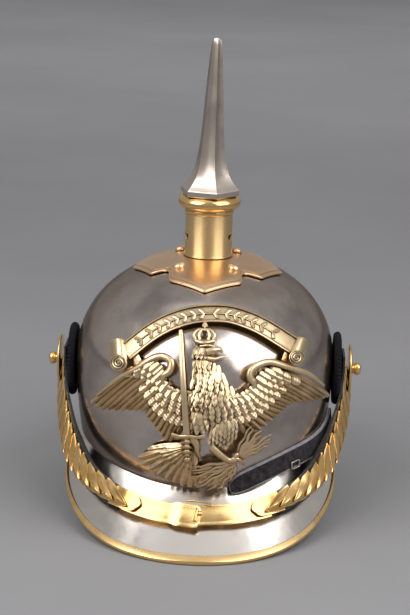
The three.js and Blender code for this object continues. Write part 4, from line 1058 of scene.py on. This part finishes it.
# The badge is laid out in points (u, v, w): across, up and out, in rows of its grid.
BADGE_GRID = BADGE_HEIGHT / BADGE_GRID_ROWS
BADGE_FACING = np.array([0, -cosd(BADGE_LEAN), sind(BADGE_LEAN)])
BADGE_UP = np.array([0, sind(BADGE_LEAN), cosd(BADGE_LEAN)])
BADGE_ORIGIN = skull_point(0.0, BADGE_FOOT_LEVEL, BADGE_STANDOFF)
BADGE_ORIGIN[0] = BADGE_SHIFT
RIB_SHARE = 0.16
BARBS_PER_ROW = 2.2
BARB_SLANT = 2.6
SWELLING_FULLNESS = 2.2


def badge_stand(u):
    """How far the badge's back stands off the skull."""
    return BADGE_STANDOFF + BADGE_SPRING * (u / BADGE_GRID_ROWS) ** 2


def press(points):
    """Bends points of (u, v, w), in rows of the badge's grid, onto the skull."""
    u, v, w = np.asarray(points, float).T
    start = BADGE_ORIGIN + BADGE_UP * (v * BADGE_GRID)[:, None]
    start[:, 0] += u * BADGE_GRID
    offset = badge_stand(u) + w * BADGE_GRID
    near = np.full(len(u), -SKULL_HALF_LENGTH)
    far = np.full(len(u), SKULL_HALF_LENGTH)
    for _ in range(30):
        middle = (near + far) / 2
        p = start + BADGE_FACING * middle[:, None]
        out = np.hypot(p[:, 0] / (SKULL_HALF_WIDTH + offset), p[:, 1] / (SKULL_HALF_LENGTH + offset))
        outside = out > skull_share(p[:, 2], offset)
        far = np.where(outside, middle, far)
        near = np.where(outside, near, middle)
    return start + BADGE_FACING * far[:, None]


def leaf(points, halves, heights, columns=7, rows=12, crown=0.8, rib=0.5, barbs=0.0, tip=0.82, back=0.0):
    """A feather or bar along a line of grid points: domed across, ribbed, rounded beyond its tip share."""
    line = catmull(points, rows) if len(points) > 2 else np.linspace(points[0], points[1], rows)
    aside = left_of(line)
    share = np.linspace(0, 1, rows)
    half = np.interp(share, np.linspace(0, 1, len(halves)), halves)
    if tip < 1:
        beyond = np.maximum(0, share - tip) / (1.02 - tip)
        half = half * np.sqrt(np.clip(1 - beyond ** 2, 0, 1))
    height = np.interp(share, np.linspace(0, 1, len(heights)), heights)
    across = np.linspace(-1, 1, columns)[None, :]
    flat = line[:, None, :] + aside[:, None, :] * (half[:, None] * across)[..., None]
    w = height[:, None] - crown * (half / half.max())[:, None] * across ** 2
    w = w + rib * np.exp(-(across / RIB_SHARE) ** 2)
    if barbs:
        length = np.linalg.norm(np.diff(line, axis=0), axis=1).sum()
        w = w + barbs * np.sin(share[:, None] * length * BARBS_PER_ROW + np.abs(across) * BARB_SLANT)
    return wall_mesh(join(flat[..., 0], flat[..., 1], w), join(flat[..., 0], flat[..., 1], back))


def left_of(line):
    way = unit(np.gradient(line, axis=0))
    return np.stack([-way[:, 1], way[:, 0]], -1)


def turned_about(at, x, y, lean):
    """Points at x and y from a place, in axes that lean by so many degrees."""
    return at[0] + x * cosd(lean) - y * sind(lean), at[1] + x * sind(lean) + y * cosd(lean)


def swelling(at, halves, height, lean=0.0, segments=28):
    """A rounded body on the back plane."""
    turns = full_turn(segments)
    rings = []
    for share in np.linspace(0, 0.94, 9):
        reach = (1 - share ** SWELLING_FULLNESS) ** (1 / SWELLING_FULLNESS)
        x, y = turned_about(at, halves[0] * reach * np.cos(turns), halves[1] * reach * np.sin(turns), lean)
        rings.append(join(x, y, share * height))
    return ring_mesh(rings, (*at, 0), (*at, height))


def tube(points, radii, count, squash=1.0, sides=12):
    """A rounded bar along a line of (u, v, w)."""
    return bar(points, radii, count, sides, squash, [0, 0, 1])


def post(u, v):
    """A short post from the badge's back to just off the skull."""
    return tube([(u, v, (SEAT_GAP - badge_stand(u)) / BADGE_GRID), (u, v + 0.01, 1.0)], [3.0, 3.0], 6)


WINGS = [
    {
        "primary_tips": [(-116, 85), (-106, 81), (-95, 81), (-84, 81), (-73, 82), (-62, 82)],
        "primary_roots": [(-60, 127), (-46, 128), (-40, 120), (-37, 110), (-36, 100)],
        "secondary_tips": [(-56, 76), (-51, 70), (-46, 63), (-40, 56), (-34, 52), (-27, 55)],
        "secondary_roots": [(-35, 100), (-30, 98), (-24, 96), (-18, 93), (-11, 90)],
        "arm": [(-11, 101), (-26, 102), (-34, 105), (-40, 111), (-40, 117), (-34, 122), (-33, 131),
                (-40, 136), (-48, 135.5), (-57, 131), (-68, 123), (-84, 114), (-109, 94)],
        "covert_lines": [
            [(-60, 103), (-52, 93), (-45, 84), (-36, 77), (-27, 73), (-18, 72)],
            [(-76, 118), (-62, 117), (-53, 110), (-46, 99), (-38, 90), (-26, 84), (-16, 82)],
            [(-66, 121), (-55, 119), (-48, 112), (-42, 102), (-35, 95), (-25, 90), (-15, 88)],
            [(-56, 125), (-48, 122), (-45, 116), (-42, 107), (-34, 99), (-24, 96), (-14, 94)],
        ],
    },
    {
        "primary_tips": [(128, 101), (120, 99), (110, 97), (100, 96), (90, 95), (83, 91)],
        "primary_roots": [(72, 127), (60, 125), (53, 117), (48, 108), (44, 100)],
        "secondary_tips": [(81, 88), (76, 83), (70, 77), (62, 70), (54, 65), (45, 62)],
        "secondary_roots": [(44, 99), (40, 96), (35, 93), (28, 91), (22, 89)],
        "arm": [(20, 98), (32, 98), (42, 101), (49, 108), (50, 113), (46, 118), (47, 126), (55, 132),
                (66, 134.5), (80, 131), (95, 127), (108, 122), (122, 112)],
        "covert_lines": [
            [(78, 107), (69, 98), (60, 89), (51, 82), (41, 77), (31, 76)],
            [(92, 116), (78, 116), (70, 110), (63, 101), (55, 93), (44, 87), (34, 84)],
            [(82, 120), (70, 118), (64, 111), (58, 103), (51, 96), (42, 91), (32, 88)],
            [(74, 124), (64, 121), (58, 114), (53, 106), (47, 100), (40, 96), (30, 93)],
        ],
    },
]
ARM_RADII = [2.4, 2.4, 2.6, 2.8, 3.2, 3.9, 3.8, 3.6, 3.4, 3.2, 2.8, 2.3, 1.2]


def fan(count, roots, tips, half, bow):
    """Flight feathers from a line of roots to a line of tips."""
    parts = []
    for number, (start, end) in enumerate(zip(catmull(roots, count), catmull(tips, count))):
        lift = 3.2 + 0.5 * (number % 2)
        parts.append(leaf([start, (start + end) / 2 + [0, bow], end], [half, half * 1.05, half * 0.9],
                          [lift + 0.8, lift, lift - 1.0], 9, 26, crown=3.0, rib=0.9, barbs=0.2, tip=0.86))
    return parts


def coverts(wing):
    """Rows of short feathers over the roots of the flight feathers."""
    parts = []
    outer_way = unit(np.subtract(wing["primary_tips"][1], wing["primary_roots"][1]))
    inner_way = unit(np.subtract(wing["secondary_tips"][-1], wing["secondary_roots"][-1]))
    for row, line in enumerate(wing["covert_lines"]):
        count = 10 if row else 9
        for number, place in enumerate(catmull(line, count)):
            share = number / (count - 1)
            way = unit(outer_way * (1 - share) + inner_way * share)
            lift = 3.7 + row * 0.8 + 0.5 * (number % 2)
            parts.append(leaf([place - way * 8, place + way * 4.5], [3.0, 4.3, 4.1],
                              [lift - 1.0, lift + 0.2, lift + 1.7], 9, 16, crown=1.3, rib=0.4, barbs=0.12,
                              tip=0.55, back=lift - 3.4))
    return parts


def wing_parts(wing):
    line = [(u, v, 5.6 if 3 < i < 8 else 4.2) for i, (u, v) in enumerate(wing["arm"])]
    return (fan(9, wing["primary_roots"], wing["primary_tips"], 3.8, 2.5)
            + fan(8, wing["secondary_roots"], wing["secondary_tips"], 3.6, 0.5)
            + coverts(wing) + [tube(line, ARM_RADII, 66, squash=0.8)])


BODIES = table(
    "name at halves height lean rows size raised",
    ("chest", (10, 93), (24, 21), 7.4, -12, 8, 5.6, 1.0),
    ("ruff", (4.5, 113), (18, 15), 7.9, -22, 6, 5.2, 1.0),
    ("neck", (-2, 128), (9.6, 13), 7.4, -8, 6, 4.4, 1.0),
    ("breast", (-4, 92), (9.5, 10), 8.8, 0, 5, 4.2, 1.0),
    ("nape", (-4.5, 140.5), (8, 7), 7.8, 0, 4, 3.2, 0.7),
    ("left_thigh", (-4, 72), (10, 14), 8.8, 0, 6, 4.4, 0.7),
    ("right_thigh", (21, 63), (17, 10.5), 9.0, 42, 6, 4.4, 0.7),
    ("head", (0, 142.5), (9.5, 7.6), 7.8, 0, 0, 0, 0),
)


def body_feathers(body):
    """Overlapping small feathers laid over a swelling, tips down."""
    parts = []
    halves, rows, size, raised = body["halves"], body["rows"], body["size"], body["raised"]
    for row in range(rows):
        y = 0.86 - 1.7 * row / (rows - 1)
        width = math.sqrt(max(0.02, 1 - y * y))
        count = max(2, int(round(halves[0] * width * 2 / (size * 1.15))))
        for k in range(count):
            x = (-1 + 2 * (k + 0.5 * (1 + row % 2) / 1.5) / count) * width * 0.92
            if abs(x) > width:
                continue
            from_middle = x * x + y * y
            w = body["height"] * ((1 - from_middle) ** 0.42 if from_middle < 0.98 else 0.2)
            place = np.array(turned_about(body["at"], x * halves[0], y * halves[1], body["lean"]))
            down = unit(np.array([x * 0.5, -1.0])) * size * 1.2
            lift = w + 0.5 * raised * (k % 2)
            parts.append(leaf([place - down, place + down], np.multiply(size, [0.4, 0.6, 0.62, 0.5, 0.1]),
                              [w - 1.4, w - 0.3 * raised, lift + raised, lift + 2.6 * raised], 7, 13,
                              crown=1.1 * raised, rib=0.5 * raised, tip=1, back=max(0.0, w - 2.5)))
    return parts


def body_parts():
    parts = []
    for body in BODIES:
        parts.append(swelling(body["at"], body["halves"], body["height"], body["lean"]))
        parts += body_feathers(body)
    return parts


def head_parts():
    """Brow, open beak and eye."""
    return [
        tube([(-5, 147.6, 6.4), (3, 148.6, 8.0), (10, 147.6, 7.4)], [0.8, 1.4, 0.9], 14),
        tube([(2, 142.5, 6.0), (9, 144.6, 6.8), (14.5, 145, 6.2), (17.4, 141.6, 5.4)],
             [4.4, 3.4, 2.3, 0.6], 22, squash=0.9),
        tube([(3, 136, 5.4), (10, 135.4, 5.6), (16, 137.4, 5.2), (21.5, 137.8, 4.8)],
             [2.8, 1.8, 1.2, 0.5], 20, squash=0.9),
        swelling((4.8, 145.0), (1.6, 1.4), 9.8, segments=14),
    ]


def crown_parts():
    """Band, four arches, orb and cross."""
    parts = [tube([(-9.5, 153, 4.6), (-1, 151.2, 6.2), (9, 153.5, 4.8)], [2.0, 2.2, 2.0], 20)]
    for side, out in ((-1, 10.5), (-1, 5.5), (1, 5.0), (1, 10.5)):
        parts.append(tube([(side * out * 0.8 - 1, 154, 5.0), (side * out - 1, 159.5, 5.2),
                           (side * out * 0.55 - 1, 164, 5.0), (-1, 163.6, 4.8)], [1.5, 1.8, 1.5, 1.3], 18))
    plain = {"columns": 5, "rows": 6, "crown": 0.3, "rib": 0, "tip": 1}
    parts.append(swelling((-1, 164.6), (2.4, 2.2), 6.2, segments=14))
    parts.append(leaf([(-1, 164), (-1, 171)], [0.8, 1.0, 1.7], [5.2, 4.8], **plain))
    parts.append(leaf([(-3.6, 168.2), (1.6, 168.2)], [1.5, 0.8, 1.5], [5.0, 5.0], **plain))
    return parts


def sword_parts():
    """Ridged blade, guard, grip, pommel, three grip rings, and the thumb of the claw that holds it."""
    parts = [
        leaf([(-15, 60), (-25, 163)], [3.1, 2.8, 2.5, 2.1], [10.4, 10.4, 7.0, 4.6], 5, 30, crown=1.2, rib=0,
             tip=0.95),
        tube([(-30, 59, 6.4), (-22, 57.5, 7.6), (-14, 58, 8.4), (-5, 57.5, 8.0), (3, 58.5, 7.0)],
             [2.6, 1.9, 2.4, 1.9, 2.6], 26),
        tube([(-15, 57, 6.4), (-14, 38, 5.4)], [3.0, 3.2, 2.8], 14),
        swelling((-14, 34), (4.6, 4.4), 7.0),
        tube([(-9, 56, 4.6), (-5, 50, 5.6), (-4, 43, 5.2), (-1, 36, 3.8)], [5.4, 4.0, 2.6, 0.8], 20),
    ]
    for v in (52, 47, 42):
        line = [(-20, v - 1, 3.2), (-14.5, v + 0.6, 8.2), (-9, v - 0.5, 3.4)]
        parts.append(tube(line, [2.0, 2.3, 1.8], 16))
    return parts


# Where each bolt starts in the claw and where it ends.
BOLTS = [((34, 36), (67, 53)), ((35, 38), (58, 64)), ((34, 38), (49, 69)), ((36, 36), (68, 60)),
         ((35, 37), (54, 57)), ((35, 33), (-10, 25)), ((35, 32), (-9, 18)), ((34, 31), (-3, 8)),
         ((33, 30), (7, 5)), ((34, 29), (17, 7)), ((35, 29), (27, 15)), ((34, 32), (2, 20))]


def claw_parts():
    """The right leg, its claw, and the bundle of bolts in it: doubled zigzag strands."""
    parts = [tube([(10, 48, 5.4), (17, 42, 6.6), (27, 35, 6.6), (35, 35.5, 6.4)], [4.6, 3.6, 3.0, 3.4], 20)]
    for u, v in ((43, 31), (38, 42), (28, 31)):
        knuckle = ((33 + u) / 2, (37 + v) / 2 + 1.5, 7.2)
        parts.append(tube([(33, 37, 6.2), knuckle, (u, v, 4.2)], [2.6, 2.2, 0.9], 14))
    for number, (start, end) in enumerate(BOLTS):
        way = np.subtract(end, start)
        aside = unit(np.array([-way[1], way[0]]))
        for shift in (-1.6, 1.6):
            w = 3.4 + 0.9 * ((number + (shift > 0)) % 3)
            share = np.linspace(0, 1, 6)[:, None]
            sideways = shift * np.minimum(1, 3 * share) + 0.7 * np.array([[1], [-1]] * 3)
            flat = start + way * share * (1 + 0.03 * shift) + aside * sideways
            line = join(flat[:, 0], flat[:, 1], w)
            parts.append(tube(line, [1.6, 2.1, 1.9, 1.6, 0.4], 22, squash=0.9, sides=8))
    return parts


TAIL_ROOT = np.array([-8, 49])
TAIL_TIPS = [(-54, 42), (-64, 33), (-60, 27), (-52, 22), (-44, 17), (-35, 13), (-27, 10), (-19, 7),
             (-11, 6), (-4, 7)]


def tail_parts():
    """Long feathers with a shorter one over the root of each."""
    parts = []
    for number, tip in enumerate(TAIL_TIPS):
        lift = 2.6 + 0.4 * (number % 2)
        middle, near = (TAIL_ROOT + tip) / 2 + [0, 1.5], TAIL_ROOT + np.subtract(tip, TAIL_ROOT) * 0.6
        parts.append(leaf([TAIL_ROOT, middle, tip], [2.2, 3.0, 3.7, 3.2], [lift + 1, lift, lift - 0.8],
                          9, 24, crown=1.5, rib=0.8, barbs=0.25, tip=0.86))
        parts.append(leaf([TAIL_ROOT, near], [2.0, 2.9, 3.0], [lift + 2.4, lift + 1.2], 9, 16, crown=1.5,
                          rib=0.6, barbs=0.25, tip=0.8))
    return parts


def build_eagle():
    parts = wing_parts(WINGS[0]) + wing_parts(WINGS[1]) + body_parts() + head_parts() + crown_parts()
    parts += sword_parts() + claw_parts() + tail_parts()
    parts += [post(u, v) for u, v in ((6, 92), (-52, 108), (62, 112), (-6, 40))]
    verts, faces = merged(parts)
    add_piece("eagle_relief", press(verts), faces, ANTIQUE_BRASS_SHADED, "eagle_badge", sharp=45)


SCROLL_MIDDLE = [(-80, 139), (-56, 159), (-38, 170), (-20, 177), (-2, 180.5), (20, 181), (38, 177),
                 (58, 169), (88, 152)]
SCROLL_ROLLS = table("disc top half", ((-86, 128), (-90, 152), 9.0), ((91.5, 140), (98, 160), 8.0))
ROLL_RINGS = [(1.0, 0.0), (1.0, 8.0), (0.97, 8.7), (0.9, 8.8), (0.84, 8.3), (0.6, 8.3), (0.3, 8.3)]


def roll_parts(roll):
    """A rolled end of the band: a rounded bar whose foot shows the spiral of the roll."""
    disc, top, half = np.array(roll["disc"], float), np.array(roll["top"], float), roll["half"]
    squash = 0.92
    turns = full_turn(40)
    round_x, round_y = half * np.cos(turns), half * squash * np.sin(turns)
    rings = [join(disc[0] + share * round_x, disc[1] + share * round_y, height)
             for share, height in ROLL_RINGS]
    spin = np.linspace(0, 3.4 * np.pi, 26)
    reach = half * (0.74 - 0.5 * spin / spin[-1])
    heading = spin + math.atan2(*(top - disc)[::-1])
    spiral = join(disc[0] + reach * np.cos(heading), disc[1] + squash * reach * np.sin(heading), 8.5)
    return [
        leaf([disc, top], [half, half * 0.98, half * 0.9], [8.2, 6.6], 15, 16, crown=5.2, rib=0, tip=0.93),
        ring_mesh(rings, (*disc, 0), (*disc, 8.3)),
        tube(spiral, [0.9, 1.0, 1.1], 110, 0.9, sides=8),
        swelling(tuple(disc), (half * 0.17, half * 0.16), 9.6, segments=16),
    ]


def garland(line, aside):
    """A plain laurel garland along the band: a stem with pairs of leaves that part at its middle."""
    columns = len(line)
    parts = [tube([(*line[at], 3.0) for at in range(8, columns - 8, 6)], [0.6, 0.8, 0.6], 90, 0.9, sides=8)]
    for share in np.linspace(0.08, 0.92, 15):
        at = int(share * (columns - 1))
        along = np.array([aside[at][1], -aside[at][0]]) * (1 if share > 0.5 else -1)
        for side in (-1, 1):
            out = aside[at] * side
            tip = line[at] + along * 5.4 + out * 4.4
            bowed = [line[at], (line[at] + tip) / 2 + out * 1.1, tip]
            parts.append(leaf(bowed, [0.9, 1.9, 0.9], [3.9, 3.3], 5, 9, crown=0.5, rib=0.2, tip=0.7))
    return parts


def build_scroll():
    line = catmull(SCROLL_MIDDLE, 140)
    aside = left_of(line)
    across = np.linspace(-1, 1, 25)
    border = 1.5 * smoothstep(np.abs(across), 0.74, 0.8) * (1 - 0.6 * smoothstep(np.abs(across), 0.9, 1.0))
    flat = line[None] + aside[None] * (SCROLL_WIDTH / 2 / BADGE_GRID * across)[:, None, None]
    u, v = flat[..., 0], flat[..., 1]
    parts = [wall_mesh(join(u, v, (2.4 + border)[:, None]), join(u, v, 0.0))] + garland(line, aside)
    for roll in SCROLL_ROLLS:
        parts += roll_parts(roll)
    for ends, halves in (([(-75, 147), (-66, 130)], [3.4, 3.2]), ([(84, 150), (79, 136)], [3.2, 3.0])):
        parts.append(leaf(ends, halves, [1.8, 1.0], 7, 8, crown=0.2, rib=0, tip=1))
    parts += [post(-56, 159), post(58, 169)]
    verts, faces = merged(parts)
    add_piece("scroll_band", press(verts), faces, ANTIQUE_BRASS_SHADED, "scroll_banner", sharp=35)


FLOOR_REACH_M = 14
FLOOR_TONES = [(0.3, (0.25, 0.25, 0.262)), (0.7, (0.29, 0.29, 0.302))]
HELMET_MIDDLE_M = 0.11
SOFTBOX_DISTANCE_M = 1.7
WARM_WHITE = (1.0, 0.985, 0.965)
STUDIO_GREY = (0.36, 0.355, 0.355, 1)


def build_stage():
    steps = np.linspace(-FLOOR_REACH_M, FLOOR_REACH_M, 41)
    mesh = bpy.data.meshes.new("stage_floor")
    verts = [(x, y, 0.0) for y in steps for x in steps]
    mesh.from_pydata(verts, [], grid_faces(len(steps), len(steps)))
    mesh.shade_smooth()
    material, tree, shader = material_nodes("stage_paper")
    tone = ramp(tree, noise(tree, 1.6, 4.0, 0.6), FLOOR_TONES)
    tree.links.new(tone, shader.inputs["Base Color"])
    shader.inputs["Roughness"].default_value = 0.9
    bump(tree, shader, noise(tree, 300.0), 0.05, 0.001)
    mesh.materials.append(material)
    add_object("stage_floor", mesh)


def soft_light(name, place, target, size, power, color=(1, 1, 1)):
    data = bpy.data.lights.new(name, "AREA")
    data.shape = "RECTANGLE"
    data.size, data.size_y = size
    data.energy = power
    data.color = color
    light = add_object(name, data)
    light.location = place
    light.rotation_euler = (Vector(target) - Vector(place)).to_track_quat("-Z", "Y").to_euler()
    return data


def softbox(name, azimuth, elevation, size, power):
    """A soft light seen from the helmet at an azimuth from the front towards +X and an elevation."""
    way = Vector((sind(azimuth) * cosd(elevation), -cosd(azimuth) * cosd(elevation), sind(elevation)))
    helmet = Vector((0, 0, HELMET_MIDDLE_M))
    soft_light(name, helmet + way * SOFTBOX_DISTANCE_M, helmet, size, power, WARM_WHITE)


def build_lights():
    softbox("softbox_left", azimuth=-54, elevation=41, size=(1.15, 1.3), power=17)
    softbox("softbox_right", azimuth=58, elevation=43, size=(1.3, 1.35), power=18)
    soft_light("overhead_panel", (0, -0.1, 1.9), (0, -0.1, 0), (1.9, 1.3), 3.4)
    soft_light("backdrop_light", (0, 1.6, 2.6), (0, 3.2, 0), (3.0, 1.0), 15).spread = rad(100)
    world = bpy.data.worlds.new("studio")
    bpy.context.scene.world = world
    world.use_nodes = True
    background = world.node_tree.nodes["Background"]
    background.inputs["Color"].default_value = STUDIO_GREY
    background.inputs["Strength"].default_value = 1.0
    bpy.context.scene.view_settings.view_transform = "Standard"


PHOTO_HEIGHT_PX = 615
FOCAL_PX = 1745
SENSOR_MM = 36.0
CAMERA_ANCHOR_LEVEL = 103.0
CAMERA_DISTANCE = 1300.0
CAMERA_AZIMUTH = 1.5
CAMERA_ELEVATION = 17.0
VIEW_AZIMUTH = 1.548
VIEW_ELEVATION = 15.44
VIEW_ROLL = 1.7


def build_camera():
    data = bpy.data.cameras.new("camera")
    data.sensor_fit = "VERTICAL"
    data.sensor_height = SENSOR_MM
    data.lens = FOCAL_PX / PHOTO_HEIGHT_PX * SENSOR_MM
    camera = add_object("camera", data)
    level = cosd(CAMERA_ELEVATION)
    back = np.array([sind(CAMERA_AZIMUTH) * level, -cosd(CAMERA_AZIMUTH) * level, sind(CAMERA_ELEVATION)])
    place = np.array([0, SHIFT[1], CAMERA_ANCHOR_LEVEL]) + CAMERA_DISTANCE * back
    turn = (Matrix.Rotation(rad(VIEW_AZIMUTH), 4, "Z") @ Matrix.Rotation(rad(90 - VIEW_ELEVATION), 4, "X")
            @ Matrix.Rotation(rad(VIEW_ROLL), 4, "Z"))
    camera.matrix_world = Matrix.Translation(Vector(place * MM)) @ turn
    bpy.context.scene.camera = camera


build_camera()
build_skull()
build_visor()
build_lames()
build_trim("visor_edging", "visor_trim", VISOR_TURNS)
build_trim("neck_edging", "neck_guard_trim", NECK_TURNS)
build_base()
build_studs()
build_tube()
build_collar()
build_spike()
for side_sign, side_label in ((-1, "left"), (1, "right")):
    build_bosses(side_sign, side_label)
    build_scales(side_sign, side_label)
    build_front_plates(side_sign, side_label)
    build_leather(side_sign, side_label)
build_fastening()
build_strap()
build_buckle()
build_eagle()
build_scroll()
build_stage()
build_lights()
